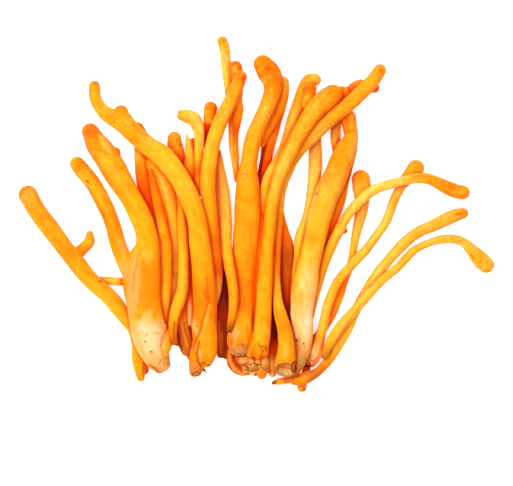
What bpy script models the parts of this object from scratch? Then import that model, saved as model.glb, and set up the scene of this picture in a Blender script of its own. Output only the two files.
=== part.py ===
"""A bunch of orange cordyceps clubs, lying on a flat surface as it was put down.

Every club, stem or foot piece follows its own line across the plan of the bunch. The plan is
drawn in steps: x runs to the right and y runs down, towards the feet of the clubs. The pieces are
laid down one after the other, from the bottom of the heap to the top, and each comes to rest on
the flat surface or on what already lies there.
"""
import math

import bpy
import numpy as np

# Driving dimensions in metres
BUNCH_REACH = 0.1429
REACH_IN_STEPS = 476.2
STEP = BUNCH_REACH / REACH_IN_STEPS
GAP = 0.0003
BEND_RADIUS = 0.060

# Rings stand this far apart where a stem runs straight, and closer where it bends or swells.
# A bend of the turning radius brings them to about 0.7 of that.
STRAIGHT_PITCH = 0.0124
TURNING_RADIUS = 0.050
HEADING_REACH = 0.0020
SHORT_HEADING_REACH = 0.2

# Plan point that stands over the origin, in steps
PLAN_CENTRE = (256.4, 214.5)

# A stem is nearly round while it is slim and flatter the broader it grows
ROUNDNESS = 0.92
BROAD_HALF_WIDTH = 22.0

# Facets round a stem; ten put a flat edge underneath and a corner at each side
SIDES = 10
FLAT_FOOT = math.cos(math.pi / SIDES)

# How far an end bulges past its last point, in half widths, and the angles of its rings
TIP_BULGE = 1.0
FOOT_BULGE = 0.55
TIP_RINGS = (0.0, 32.0, 62.0)
FOOT_RINGS = (50.0, 0.0)

# Fine grid that holds the top of the heap
CELL = 0.0002
MARGIN = 0.006
CELLS_ACROSS = 61

# Smoothing of a stem's sag over the stems below it
SAG_SPAN = 0.004
SAG_PASSES = 12
FITTING_PASSES = 6

# A fused lump shorter than this sits level with the stem it grows from
SHORT_LUMP = 0.006

# Samples on each stretch between two plan points
SAMPLES = 24

# Colours of the flesh
YELLOW = (1.0, 0.52, 0.04)
ORANGE = (1.0, 0.36, 0.02)
DEEP = (0.95, 0.22, 0.01)
DARK = (0.62, 0.10, 0.01)
CREAM = (1.0, 0.66, 0.25)

# The heap from the bottom up: name, colour, main line, then the lines fused to it.
# A line holds plan points (x, y, half width) in steps, from its tip to its foot; a fused line
# runs from its free end to the place where it grows from the main one.
HEAP = [
    ("far_left_cross_stem", DEEP, [
        [(86.5, 284.6, 2.6), (93, 282.6, 3.8), (102, 280.6, 4), (118, 281.6, 4), (134, 283, 3.4)],
    ]),
    ("far_left_club", ORANGE, [
        [(27.6, 194.8, 9.5), (39.4, 214, 9.4), (55.8, 235.8, 8.9), (72.2, 257.6, 8.7), (90.2, 279.2, 8.5),
         (109.6, 297.6, 8.4), (118.2, 308, 8.2), (124.8, 316.6, 7.4), (129.6, 323.8, 6.5),
         (134.2, 331.8, 6), (137.4, 346, 6.3), (138.8, 362, 6.9), (141.4, 379.6, 5.2)],
        [(89.8, 234.4, 3.9), (89.4, 241.6, 5.6), (84.4, 247, 5.8), (79, 252, 6)],
        [(145.8, 371, 3.2), (144, 362, 4.6), (140, 357, 5)],
    ]),
    ("dark_left_back_stem", DARK, [
        [(137.6, 128.6, 6.7), (141, 138, 7.1), (141.3, 155, 7.2), (142.4, 167, 7.9),
         (144.4, 179, 8.8), (147.4, 192, 9.2), (151.2, 205, 8.4), (154.4, 218, 6.4),
         (156, 230, 4.4)],
    ]),
    ("left_shaded_stem", DEEP, [
        [(153.2, 163, 7), (156.6, 172, 8), (161.4, 183, 9.6), (166, 196, 10.5), (169.8, 209, 9.2),
         (173, 224, 6.8), (175.4, 242, 5), (175.8, 262, 4.8), (174.8, 280, 4.8),
         (172.4, 297, 4.4), (170.4, 315, 4.3), (169.6, 331, 3.8)],
    ]),
    ("left_thin_stem", ORANGE, [
        [(159.6, 212, 4.2), (162.8, 227, 5.5), (165.8, 243, 5.9), (166.4, 262, 6), (166, 280, 5.8),
         (165.4, 299, 5.3), (165, 323, 3.6)],
    ]),
    ("left_broad_dark_foot", DARK, [
        [(187.4, 297, 2.6), (185.4, 309, 4.6), (184, 321, 6.6), (184.8, 333, 7.9),
         (186.4, 344, 8.2), (188, 352.4, 6.4)],
    ]),
    ("left_peach_sliver", CREAM, [
        [(186.8, 213, 2.8), (188.8, 232, 3.6), (190.2, 256, 3.8), (190.6, 280, 3.8), (190.6, 303, 3.6),
         (190.8, 324, 3)],
    ]),
    ("left_round_red_tip", DEEP, [
        [(174.2, 138.2, 6.8), (175, 146, 7.9), (177, 155, 8.2), (179.6, 166, 6.6)],
    ]),
    ("left_pointed_sliver", ORANGE, [
        [(186.7, 134.4, 1.2), (187.8, 141, 2.8), (189.6, 148.5, 4.2), (190.2, 157, 5),
         (189.6, 167, 6.1), (190.4, 177, 5.8), (192.2, 187, 4)],
        [(193, 139.4, 2), (191.6, 149, 3.2)],
    ]),
    ("brown_back_stem", DARK, [
        [(226, 264, 3), (225.3, 277, 4.5), (224.2, 290, 5.8), (223, 305, 6.2), (222, 320, 6.2),
         (221, 336, 6), (220.8, 348, 5.2), (221.6, 356, 4.2)],
    ]),
    ("forked_club", ORANGE, [
        [(90.4, 131.7, 8.8), (96.6, 143.6, 11.2), (105.2, 155.2, 12.3), (112.8, 167.2, 13.1),
         (120, 179.6, 11.9), (129.2, 194.6, 10.8), (139, 213, 10.6), (145.8, 230, 11.2),
         (148, 246, 12.4), (143.8, 262, 17), (141.5, 280, 19.2), (143.5, 300, 17.3),
         (146.2, 320, 17.8), (148.8, 332, 17.4), (150, 342, 15.2), (152.6, 351, 12.8),
         (159, 361, 12.4), (162.8, 367.2, 9)],
        [(77, 163.8, 7.5), (82.4, 170.8, 7.9), (94.2, 185.8, 8), (104.4, 204.6, 8),
         (113.6, 227.6, 7.8), (117.8, 243, 7.8), (124, 259, 8.6), (131, 273, 9)],
        [(115.4, 152.4, 5.4), (109, 158, 8)],
        [(169.2, 330.4, 2.4), (168.4, 337, 4), (166.2, 345, 5.8), (161, 353, 7)],
    ]),
    ("left_slim_stem", YELLOW, [
        [(180.4, 197.4, 3.6), (182, 206.6, 4.2), (181.8, 218, 4.7), (182.4, 232, 4.9), (183.3, 248, 5.1),
         (183.5, 262, 5.3), (183.3, 280, 5.5), (182, 292, 5.9), (179, 302, 6.2),
         (175.8, 311, 5.8), (173.4, 321, 4.8), (173, 332, 4.2), (174.6, 343, 3.6)],
    ]),
    ("short_grainy_club", DEEP, [
        [(210.5, 108.2, 7), (209.6, 116.5, 6.4), (208.2, 125, 4.9), (207.4, 134, 3.9),
         (207.3, 146, 3.4), (206.5, 158, 2.6)],
    ]),
    ("small_hooked_club", YELLOW, [
        [(182.6, 115.2, 5.7), (187.8, 116.6, 7), (193, 118.6, 7.2), (197.2, 125, 6.6),
         (199, 133.5, 5.4), (199.3, 145, 4.7), (199, 157, 4.5), (198.6, 170, 4.4),
         (199.4, 183, 4.2), (201.6, 195, 3.2)],
    ]),
    ("tall_pale_stem", YELLOW, [
        [(222.4, 41, 5.1), (225, 50, 5.2), (225.6, 60, 5), (226.8, 70, 5.2), (228, 82, 5),
         (229.6, 97, 4.4), (231.2, 112, 3.9), (231.7, 127, 3.9), (232.6, 145, 3.8),
         (235, 162, 3.7), (237.2, 181, 2.8)],
    ]),
    ("red_capped_stem", DEEP, [
        [(235.8, 67.4, 6.7), (237.6, 78, 6), (238, 90, 5.2), (237.4, 101, 5), (238.2, 111, 5.2),
         (237, 122, 4.3), (235.8, 133, 3), (235.8, 146, 2.6), (236.8, 160, 2.4)],
    ]),
    ("curved_foot", ORANGE, [
        [(231.4, 348, 4), (231.4, 356, 4.8), (233.4, 363, 6.4), (238.4, 368.6, 6.2),
         (244, 371.4, 4.8), (249.6, 372.2, 3)],
    ]),
    ("base_knobs", CREAM, [
        [(240.6, 359.4, 5.4), (246, 361.6, 7.6), (253, 362.4, 8.8), (260.6, 361.6, 9),
         (264.8, 361.4, 7.4)],
        [(253, 370.8, 4.3), (256, 364, 5)],
        [(261.8, 374.4, 5), (263, 366, 6)],
        [(262, 353, 4.6), (261, 361, 6)],
        [(246, 369.4, 3.8), (250, 363, 5)],
    ]),
    ("centre_dark_club", DARK, [
        [(281.3, 106, 5), (277.3, 118, 5.3), (274, 128, 5.8), (270.6, 138, 6.5), (267.7, 148, 6.6),
         (266.4, 158, 6.2), (264, 168, 5.8), (261.3, 178, 4.8), (260.7, 190, 3.4),
         (261.4, 204, 2.3)],
    ]),
    ("centre_side_club", DEEP, [
        [(282.1, 82.8, 6.8), (282.2, 92, 6.8), (280.2, 102, 6.8), (276.2, 112, 6.7),
         (271, 122, 6.3), (266, 131.4, 5.6), (262.8, 139, 4.8), (261.4, 145, 3.8)],
    ]),
    ("big_centre_club", ORANGE, [
        [(263, 64.9, 9.6), (267.2, 71, 11.4), (272, 80, 10.8), (272.7, 90, 8.9),
         (269.9, 100, 8.6), (266, 109.3, 8.3), (261.8, 118.5, 7.9), (257.7, 128, 8),
         (253.9, 138, 8.2), (251, 149, 8.1), (249.4, 161, 8.2), (248, 172, 9.7),
         (247.6, 184, 11.4), (248, 200, 12.8), (248.2, 218, 13.9), (247.2, 236, 14),
         (246.2, 254, 13.8), (246.6, 268, 12.2), (246.7, 281, 10.6), (246.2, 295, 9.7),
         (245, 308, 9.6), (243, 319, 10.6), (241, 330, 12.4), (239.6, 341.6, 12.6),
         (240, 350.4, 9.8)],
    ]),
    ("slim_centre_stem", YELLOW, [
        [(218.3, 151, 2.4), (218.8, 161, 4.2), (219.8, 170, 5.2), (221.2, 180, 6.2), (222.6, 190, 6.7),
         (224, 205, 6.8), (225.1, 220, 6.7), (225.6, 235, 6.3), (226.9, 250, 5.7), (229, 264, 5.4),
         (231.8, 279, 5.2), (233.3, 292, 5), (233.5, 303, 4.8), (232.5, 314, 4.2),
         (230.6, 324, 3.4), (229.2, 331, 2.4)],
    ]),
    ("pale_leaning_club", YELLOW, [
        [(240.6, 77.3, 6.3), (236.8, 87, 6.8), (232.6, 97.4, 6.9), (227.6, 107.4, 7.2),
         (222.8, 117, 7.3), (218.6, 127, 7.5), (215, 137, 7.4), (210.4, 157, 7.4),
         (208.2, 175, 7.4), (208.2, 193, 7.6), (210, 212, 7.4), (212.3, 235, 7.4),
         (214, 255, 7.2), (216, 274, 6.8), (215.5, 288, 6.2), (213, 303, 5)],
    ]),
    ("long_left_club", ORANGE, [
        [(94.4, 86.3, 5.9), (94.8, 96, 6.1), (97.4, 103.2, 6.3), (101.6, 109.2, 6.5),
         (106.4, 113.8, 7.4), (112.4, 117, 8.6), (119, 120.4, 9.4), (127.4, 126.6, 9.9),
         (136.8, 136.4, 9.6), (147.6, 146, 9.5), (158, 153.2, 10.6), (166, 160, 10.9),
         (173, 168.5, 10.4), (179.5, 178, 10), (191, 201, 10), (197.5, 222, 9.9),
         (200.8, 248, 10.5), (203.8, 276, 11.4), (205.3, 304, 12), (205.4, 318, 11.7),
         (208, 334, 9.2), (208, 352, 9), (205.6, 363, 6.4)],
        [(195.6, 371.2, 6.4), (195.6, 357, 6.4), (199, 340, 6.3), (203, 322, 6)],
        [(195.6, 335, 3.6), (197.4, 322, 5), (201, 308, 6)],
        [(121.6, 112.2, 7.3), (121, 118.4, 9.2)],
    ]),
    ("hooked_centre_club", YELLOW, [
        [(314.8, 79.5, 6.5), (309.4, 80.6, 7), (305.8, 86.2, 7.2), (302.6, 94, 7.5),
         (299.8, 103, 7.7), (297.2, 112, 7.8), (294.4, 122, 7.7), (291.5, 132, 7.6),
         (288.4, 142, 7.7), (284.9, 152, 7.9), (279.9, 161, 7.6), (274.2, 170, 7.3),
         (269.6, 180, 7), (267, 191, 6.2), (266, 202, 5.2), (265.3, 214, 4)],
    ]),
    ("small_dark_tip_club", DEEP, [
        [(310.2, 89, 6.4), (308.8, 97.5, 5.9), (306, 107, 4.6)],
    ]),
    ("dark_centre_back_stem", DARK, [
        [(280.8, 207, 2.6), (281.8, 218, 3.6), (284.6, 232, 4.8), (287, 245, 6.6), (287.4, 262, 6.8),
         (287.3, 278, 6.5), (287.4, 294, 6), (287.6, 308, 5.4), (288.2, 322, 4.6)],
    ]),
    ("pale_back_stem", YELLOW, [
        [(315.2, 134, 6.2), (315.4, 145, 6.6), (315.4, 157, 6.9), (314.7, 170, 7), (314, 184, 6.7),
         (312.3, 198, 6.5), (309.6, 212, 6.4), (305.8, 224, 6.2), (301, 235, 5.8),
         (299.2, 247, 5.4), (298.2, 259, 4.6), (297.6, 270, 3.4)],
    ]),
    ("right_dark_back_stem", DARK, [
        [(274.2, 300, 3), (274, 312, 3.9), (273.6, 325, 5), (272.8, 338, 5.2), (274.8, 350, 4.9),
         (276.6, 361, 5), (277, 370, 4.4)],
    ]),
    ("right_dark_club", DARK, [
        [(351.6, 150, 5.7), (348.8, 162, 5.6), (346.2, 172, 5.6), (343.4, 182, 5.7), (341.2, 192, 6),
         (338.9, 202, 6.1), (335.4, 212, 6.1), (331.2, 222, 6.1), (326.8, 233, 5.6),
         (322.8, 245, 5), (319.7, 258, 4.4)],
    ]),
    ("short_grown_foot_stub", ORANGE, [
        [(301.4, 388.4, 4), (303.3, 381, 4.2), (305.5, 373, 4.2), (307.5, 366, 3.8)],
    ]),
    ("knob_headed_stem_left", ORANGE, [
        [(361, 179, 9.2), (361.6, 188, 9.2), (362, 198, 7.7), (361.7, 208, 6.7),
         (360, 218, 5.7), (357.8, 228, 5), (355.4, 238, 4.3), (353.6, 248, 3.9),
         (352.3, 257, 3.8), (350, 266, 4), (346.6, 275, 4.2), (342.8, 285, 4.3),
         (340, 295, 4.3), (336.4, 304.5, 4.3), (332.5, 314, 4.1), (327.3, 323, 3.9),
         (320.8, 332.4, 4.5), (314.8, 341, 4.5), (310.8, 350, 4.4)],
    ]),
    ("knob_headed_stem_right", YELLOW, [
        [(416, 168, 8.3), (409.6, 175.2, 7.2), (402.2, 184, 5.7), (398, 192, 4.8),
         (394.2, 200, 4.7), (391.5, 208, 4.6), (388.6, 216, 4.6), (384.8, 223.7, 4.7),
         (379.5, 231.5, 4.6), (373.6, 239.6, 4.5), (367.4, 248, 4.6), (360.8, 255.2, 4.6),
         (354.3, 262, 4.7), (347.8, 269, 4.7), (340.8, 277, 4.7), (335.4, 286, 4.7), (331.2, 296, 4.6),
         (327.6, 305, 4.5), (325.6, 313, 4.5), (323.7, 322, 4.7), (321.6, 331, 4.9),
         (319.4, 340, 5.2), (316.8, 349, 6.4), (313.4, 357.6, 6.8), (309.8, 363.6, 5.4)],
    ]),
    ("arching_stem", YELLOW, [
        [(462.6, 192.3, 7.4), (456, 191, 7.3), (448, 188, 7.1), (440.4, 184, 6.4),
         (432.4, 180.2, 5.6), (424, 178, 5.3), (415, 178.4, 5.2), (406, 180, 4.9),
         (397, 182.3, 5), (388, 184.7, 5), (380, 187.4, 4.8), (372, 191.2, 5),
         (365, 196.2, 5.1), (358.5, 202.4, 5.2), (352, 209.4, 5.3), (346.6, 217, 5.2),
         (341.8, 225, 5.2), (337.8, 233, 5.3), (333.6, 241, 5.2), (330, 249, 5),
         (327, 257, 4.8), (324.4, 265, 4.5), (322, 273, 4.2), (319.8, 282, 4),
         (317.4, 291, 3.8), (315, 300, 3.5), (312.4, 310, 3.2), (310.6, 320, 2.8)],
        [(345, 231, 2.8), (339, 229, 4)],
    ]),
    ("pointed_root_left", ORANGE, [
        [(273.2, 383.2, 1.7), (280, 381.4, 3.5), (288, 380.2, 3.6), (294.6, 377.2, 2.9),
         (298.6, 371, 2)],
    ]),
    ("pointed_root_right", DEEP, [
        [(285, 381.4, 1.4), (292, 379.6, 2.5), (300, 376.4, 3), (308, 373.4, 2.8), (314.6, 370.8, 2.3),
         (319, 367.4, 1.9)],
    ]),
    ("thin_diagonal_stem", DEEP, [
        [(375, 88, 4.6), (368, 87.4, 6.3), (360, 86.4, 7.3), (353, 90.4, 7), (346, 98, 6.2),
         (340.8, 108, 5.4), (337.2, 119, 5), (335.9, 130, 5.1), (335.9, 141, 5),
         (337, 151, 4.4)],
    ]),
    ("lumpy_tip_club", ORANGE, [
        [(348, 118, 8), (349.6, 126, 7.5), (351, 134, 6.8), (350.6, 143, 6)],
    ]),
    ("broad_cream_club", ORANGE, [
        [(350.8, 138.6, 7.3), (347.6, 146.5, 10.1), (343.7, 155, 11.1), (339.4, 165, 11.5),
         (335.9, 175, 11.6), (331.2, 185, 12.2), (326.7, 195, 12.2), (322.2, 208, 12),
         (318.4, 220, 11.6), (315.5, 235, 11.3), (312, 250, 11), (309.3, 262, 10.8),
         (306.9, 276, 11.7), (304, 290, 12.2), (302.2, 304, 12.3), (301.7, 316, 11.9),
         (303, 328, 10.2), (303.8, 338, 9), (302.6, 348, 8.2), (300.6, 358, 7),
         (297.4, 367, 5.2), (294.6, 374, 3.4)],
    ]),
    ("small_leaning_lobe", DEEP, [
        [(341.8, 93, 7.2), (337.2, 100.3, 7.2), (331.5, 108, 6), (326, 115, 4.6)],
    ]),
    ("long_diagonal_club", ORANGE, [
        [(379.8, 70.5, 6.1), (374, 79, 6.8), (366.8, 87, 7.2), (359, 94.9, 7.3),
         (351.2, 102.2, 7.4), (342.6, 108.8, 7.5), (334, 115.4, 7.7), (325.6, 122.8, 7.8),
         (317.6, 130.8, 7.6), (310.1, 138.5, 6.9), (303, 146.6, 6), (297.4, 154, 5.6),
         (292.6, 161, 5.4), (288.4, 170, 5.4), (284.4, 180, 5), (281.5, 190, 4.8),
         (280.2, 200, 4.6), (279.6, 211, 4.4), (278.6, 224, 4), (277.8, 242, 3.8),
         (276.8, 260, 3.8), (276.8, 280, 3.8), (277.7, 300, 4.6), (279.5, 311, 5.9),
         (282.2, 322, 6.8), (285, 333, 7.6), (286, 342, 8.8), (285.2, 351, 11),
         (284.5, 361, 12.4), (285.2, 370, 11)],
    ]),
    ("front_leaning_club", YELLOW, [
        [(331, 92.6, 8.2), (325, 97.8, 9), (317.5, 105.5, 9), (310, 116, 8.7),
         (302.8, 128, 8.2), (296.2, 139, 7.7), (291.4, 149, 7.5), (285.2, 161, 7.2),
         (281.2, 171, 6.9), (277.8, 181, 6.6), (274.9, 192, 6.4), (272.5, 203, 6.4),
         (270.6, 216, 6.3), (269.4, 230, 6.4), (267.6, 246, 6.4), (266.2, 260, 6.9),
         (265.1, 276, 7.9), (264.5, 292, 8.4), (263.6, 306, 8.6), (262.4, 320, 8.8),
         (261.2, 336, 9), (260.2, 347, 8.2)],
    ]),
    ("right_curved_stem", YELLOW, [
        [(463, 213.2, 5.6), (456, 215, 6.6), (448, 218.4, 6.6), (440.2, 222.2, 6.2),
         (432.3, 226, 5.7), (424.3, 229.2, 5.6), (416.3, 233.5, 5.7), (408.8, 239, 5.7),
         (401.8, 245.5, 5.8), (395.2, 252.3, 5.3), (388.8, 259.8, 5.2), (382.8, 267.5, 5.5),
         (377, 275.4, 5.6), (371.5, 283.5, 5.5), (366, 291.7, 5.4), (360.9, 300, 5),
         (356.8, 308, 5), (353.6, 316, 4.8), (350, 324, 4.8), (346, 332, 4.9), (341.4, 340, 5.1),
         (336.3, 348, 5.2), (331.2, 356, 5), (326, 362.8, 4.6), (319.8, 369.4, 4.4),
         (312.4, 375, 4.7), (304.8, 379.2, 4.9), (298.2, 381.3, 4), (292.4, 382.2, 2.3)],
    ]),
    ("far_right_hooked_stem", ORANGE, [
        [(486.6, 265, 7.9), (480.4, 259.2, 8.2), (473.8, 251.9, 6.7), (467.8, 245.8, 5.4),
         (461, 241, 4.7), (453, 239, 4.5), (444, 239.2, 4.4), (435, 241, 4),
         (426.2, 244, 3.9), (418.3, 247.8, 4), (411, 253.2, 4.1), (404.8, 260.2, 4),
         (397.8, 267.5, 4), (390, 273.7, 4.2), (382.4, 280, 4.5), (374.8, 287.4, 4.6),
         (367.8, 294.8, 4.9), (361.3, 302.2, 5), (354.7, 309.7, 4.9), (347.7, 317, 5),
         (341, 325, 5), (335, 333.5, 5), (330, 342, 4.8), (326.5, 350, 4.2), (323.6, 357, 3.4)],
    ]),
]


def half_height(half_width):
    """Half the thickness of a stem: close to its half width, and less the broader it is."""
    return ROUNDNESS * half_width / (1.0 + (half_width / (BROAD_HALF_WIDTH * STEP)) ** 2)


def smooth_line(points):
    """Curve through hand-drawn points: a cubic on each stretch, with the slope at each point
    taken from its two neighbours. Returns x, y and half width in metres, closely spaced."""
    drawn = np.array(points, dtype=float)
    drawn = np.vstack([2 * drawn[0] - drawn[1], drawn, 2 * drawn[-1] - drawn[-2]])
    t = np.linspace(0.0, 1.0, SAMPLES, endpoint=False)[:, None]
    pieces = []
    for before, start, end, after in zip(drawn[:-3], drawn[1:-2], drawn[2:-1], drawn[3:]):
        slope_in = 0.5 * (end - before)
        slope_out = 0.5 * (after - start)
        pieces.append((2 * t ** 3 - 3 * t ** 2 + 1) * start + (t ** 3 - 2 * t ** 2 + t) * slope_in
                      + (3 * t ** 2 - 2 * t ** 3) * end + (t ** 3 - t ** 2) * slope_out)
    line = np.vstack(pieces + [drawn[-2:-1]])
    x = (line[:, 0] - PLAN_CENTRE[0]) * STEP
    y = (PLAN_CENTRE[1] - line[:, 1]) * STEP
    return np.column_stack([x, y, line[:, 2] * STEP])


def sampled(line, along, at):
    """Plan centre, heading and half width of a line at distances along it."""
    reach = min(HEADING_REACH, SHORT_HEADING_REACH * along[-1])
    ahead = np.clip(at + reach, 0.0, along[-1])
    behind = np.clip(at - reach, 0.0, along[-1])
    centre = np.column_stack([np.interp(at, along, line[:, k]) for k in (0, 1)])
    heading = np.column_stack([np.interp(ahead, along, line[:, k])
                               - np.interp(behind, along, line[:, k]) for k in (0, 1)])
    heading /= np.linalg.norm(heading, axis=1)[:, None]
    return centre, heading, np.interp(at, along, line[:, 2])


def ring_places(line, along):
    """Distances along a line at which its rings stand, by how much it bends and swells there."""
    at = np.linspace(0.0, along[-1], max(8, int(along[-1] / CELL)))
    heading, width = sampled(line, along, at)[1:]
    turn = np.abs(np.gradient(np.unwrap(np.arctan2(heading[:, 1], heading[:, 0])), at))
    swell = np.abs(np.gradient(np.gradient(width, at), at))
    wanted = np.sqrt(1.0 + TURNING_RADIUS * (turn + np.minimum(swell, turn.max())))
    total = np.concatenate([[0.0], np.cumsum(0.5 * (wanted[1:] + wanted[:-1]) * np.diff(at))])
    count = max(2, int(round(total[-1] / STRAIGHT_PITCH)))
    return np.interp(np.linspace(0.0, total[-1], count + 1), total, at)


def rings_of(points):
    """Rings of one stem: plan centre, sideways direction, half width and half height.
    The first ring is the pole of the rounded tip and the last the pole of the blunt foot."""
    line = smooth_line(points)
    steps = np.hypot(np.diff(line[:, 0]), np.diff(line[:, 1]))
    along = np.concatenate([[0.0], np.cumsum(steps)])
    length = along[-1]
    places = ring_places(line, along)
    tip, foot = line[0, 2], line[-1, 2]
    tip_angles = np.radians(TIP_RINGS)
    foot_angles = np.radians(FOOT_RINGS)
    place = np.concatenate([-TIP_BULGE * tip * np.cos(tip_angles), places,
                            length + FOOT_BULGE * foot * np.cos(foot_angles)])
    width = np.concatenate([tip * np.sin(tip_angles), np.interp(places, along, line[:, 2]),
                            foot * np.sin(foot_angles)])
    inside = np.clip(place, 0.0, length)
    centre, heading = sampled(line, along, inside)[:2]
    centre += heading * (place - inside)[:, None]
    sideways = np.column_stack([-heading[:, 1], heading[:, 0]])
    thickness = half_height(np.maximum(width, 1e-9))
    thickness[:len(tip_angles)] = half_height(tip) * np.sin(tip_angles)
    thickness[-len(foot_angles):] = half_height(foot) * np.sin(foot_angles)
    return {"place": place, "centre": centre, "sideways": sideways, "width": width,
            "thickness": thickness}


class Heap:
    """The top of everything laid down so far, as heights on a fine square grid."""

    def __init__(self):
        self.low = np.array([-BUNCH_REACH, -BUNCH_REACH]) / 2 - MARGIN
        cells = int((BUNCH_REACH + 2 * MARGIN) / CELL)
        self.top = np.full((cells, cells), -1.0)

    def cell(self, plan):
        """Grid cell that holds each plan point."""
        index = ((plan - self.low) / CELL).astype(int)
        return index[..., 0], index[..., 1]

    def dense(self, rings, extra=0.0):
        """Points spread over a stem's plan, and how high its skin bulges there from its centre."""
        length = rings["place"][-1] - rings["place"][0]
        fine = np.linspace(rings["place"][0], rings["place"][-1], int(length / CELL) + 2)

        def between(values):
            return np.interp(fine, rings["place"], values)

        centre = np.column_stack([between(rings["centre"][:, k]) for k in (0, 1)])
        sideways = np.column_stack([between(rings["sideways"][:, k]) for k in (0, 1)])
        width = between(rings["width"]) + extra
        thickness = between(rings["thickness"]) + extra
        across = np.linspace(-1.0, 1.0, CELLS_ACROSS)
        offset = (across[None, :] * width[:, None])[..., None]
        plan = centre[:, None, :] + sideways[:, None, :] * offset
        bulge = thickness[:, None] * np.sqrt(1.0 - across[None, :] ** 2)
        return fine, plan, bulge

    def rest_height(self, rings, held_up=0.0):
        """Centre heights at which a stem lies on the heap. It clears what is under it by the
        gap, bends no tighter than its bend radius, and sags back to the surface beyond."""
        fine, plan, bulge = self.dense(rings, GAP)
        under = self.top[self.cell(plan)]
        lift = np.where(under > 0.0, under + bulge, 0.0).max(axis=1)
        floor = FLAT_FOOT * np.interp(fine, rings["place"], rings["thickness"])
        need = np.maximum(lift, floor)
        need[-1] = max(need[-1], held_up)
        apart = fine[:, None] - fine[None, :]
        arch = (need[None, :] - apart ** 2 / (2 * BEND_RADIUS)).max(axis=1)
        span = int(SAG_SPAN / CELL)
        blur = np.hanning(2 * span + 1)
        blur /= blur.sum()
        height = arch
        for _ in range(SAG_PASSES):
            padded = np.pad(height, span, mode="edge")
            height = np.maximum(np.convolve(padded, blur, mode="valid"), need)
        stations = np.interp(rings["place"], fine, height)
        for _ in range(FITTING_PASSES):
            short = need - np.interp(fine, rings["place"], stations)
            for k in range(len(stations)):
                near = fine >= rings["place"][max(k - 1, 0)]
                near &= (fine <= rings["place"][min(k + 1, len(stations) - 1)])
                stations[k] += max(0.0, short[near].max())
        return stations

    def cover(self, rings, heights):
        """Adds a laid stem to the top of the heap."""
        fine, plan, bulge = self.dense(rings)
        skin = np.interp(fine, rings["place"], heights)[:, None] + bulge
        np.maximum.at(self.top, self.cell(plan), skin)


def stem_mesh(name, rings, heights):
    """Closed tube through the rings: each is an upright polygon across the stem's heading."""
    angles = np.linspace(0.0, 2 * math.pi, SIDES, endpoint=False)
    verts = []
    for k in range(1, len(heights) - 1):
        plan = (rings["centre"][k][None, :]
                + rings["sideways"][k][None, :] * (rings["width"][k] * np.cos(angles))[:, None])
        z = heights[k] + rings["thickness"][k] * np.sin(angles)
        verts.extend(np.column_stack([plan, z]).tolist())
    ring_count = len(heights) - 2
    tip = len(verts)
    verts.append([*rings["centre"][0], heights[0]])
    foot = len(verts)
    verts.append([*rings["centre"][-1], heights[-1]])
    faces = []
    for j in range(SIDES):
        following = (j + 1) % SIDES
        faces.append((tip, following, j))
        last = (ring_count - 1) * SIDES
        faces.append((foot, last + j, last + following))
        for k in range(ring_count - 1):
            here, there = k * SIDES, (k + 1) * SIDES
            faces.append((here + j, here + following, there + following, there + j))
    mesh = bpy.data.meshes.new(name)
    mesh.from_pydata(verts, [], faces)
    mesh.validate()
    mesh.update()
    return mesh


def face_outwards(mesh):
    """Turns the faces out when the mesh is inside out, judged by its signed volume."""
    volume = 0.0
    for polygon in mesh.polygons:
        corners = [mesh.vertices[index].co for index in polygon.vertices]
        for k in range(1, len(corners) - 1):
            volume += corners[0].dot(corners[k].cross(corners[k + 1]))
    if volume < 0.0:
        mesh.flip_normals()


def flesh(name, colour):
    """Satin flesh of one piece."""
    material = bpy.data.materials.new(name + "_flesh")
    material.use_nodes = True
    shader = material.node_tree.nodes["Principled BSDF"]
    shader.inputs["Base Color"].default_value = (*colour, 1.0)
    shader.inputs["Roughness"].default_value = 0.5
    shader.inputs["Metallic"].default_value = 0.0
    return material


def add_object(name, rings, heights):
    """One stem as an object of its own."""
    mesh = stem_mesh(name, rings, heights)
    face_outwards(mesh)
    mesh.shade_smooth()
    item = bpy.data.objects.new(name, mesh)
    bpy.context.collection.objects.link(item)
    return item


def main_height_at(rings, heights, plan_point):
    """Centre height of a laid main stem nearest to a plan point."""
    reach = np.linalg.norm(rings["centre"] - plan_point, axis=1)
    return heights[int(np.argmin(reach))]


def fuse(main, side):
    """Joins a fused line to its main one as a single solid."""
    side.hide_render = True
    side.display_type = "WIRE"
    union = main.modifiers.new(side.name, "BOOLEAN")
    union.operation = "UNION"
    union.solver = "EXACT"
    union.object = side


def build_piece(heap, name, colour, lines):
    """Lays one piece on the heap and models it, with what is fused to it."""
    main_rings = rings_of(lines[0])
    main_heights = heap.rest_height(main_rings)
    laid = [(main_rings, main_heights)]
    main = add_object(name, main_rings, main_heights)
    main.data.materials.append(flesh(name, colour))
    for number, line in enumerate(lines[1:], start=1):
        rings = rings_of(line)
        joint = main_height_at(main_rings, main_heights, rings["centre"][-1])
        heights = heap.rest_height(rings, joint)
        if rings["place"][-1] < SHORT_LUMP:
            heights = np.maximum(heights, joint)
        side = add_object(name + "_fused_" + str(number), rings, heights)
        fuse(main, side)
        laid.append((rings, heights))
    for rings, heights in laid:
        heap.cover(rings, heights)


def main():
    """Clears the scene and lays every piece of the bunch."""
    for item in list(bpy.data.objects):
        bpy.data.objects.remove(item, do_unlink=True)
    heap = Heap()
    for name, colour, lines in HEAP:
        build_piece(heap, name, colour, lines)


main()
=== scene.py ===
"""A loose bunch of orange cordyceps clubs on a pale table, seen from straight above.

Every club, stem and foot piece is a skin carried along its own line across the plan of the bunch.
The plan is drawn in steps: x runs to the right and y runs down, towards the feet of the clubs.
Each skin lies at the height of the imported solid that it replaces.
"""

import math

import bpy
import numpy as np
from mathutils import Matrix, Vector
from mathutils.bvhtree import BVHTree


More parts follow.
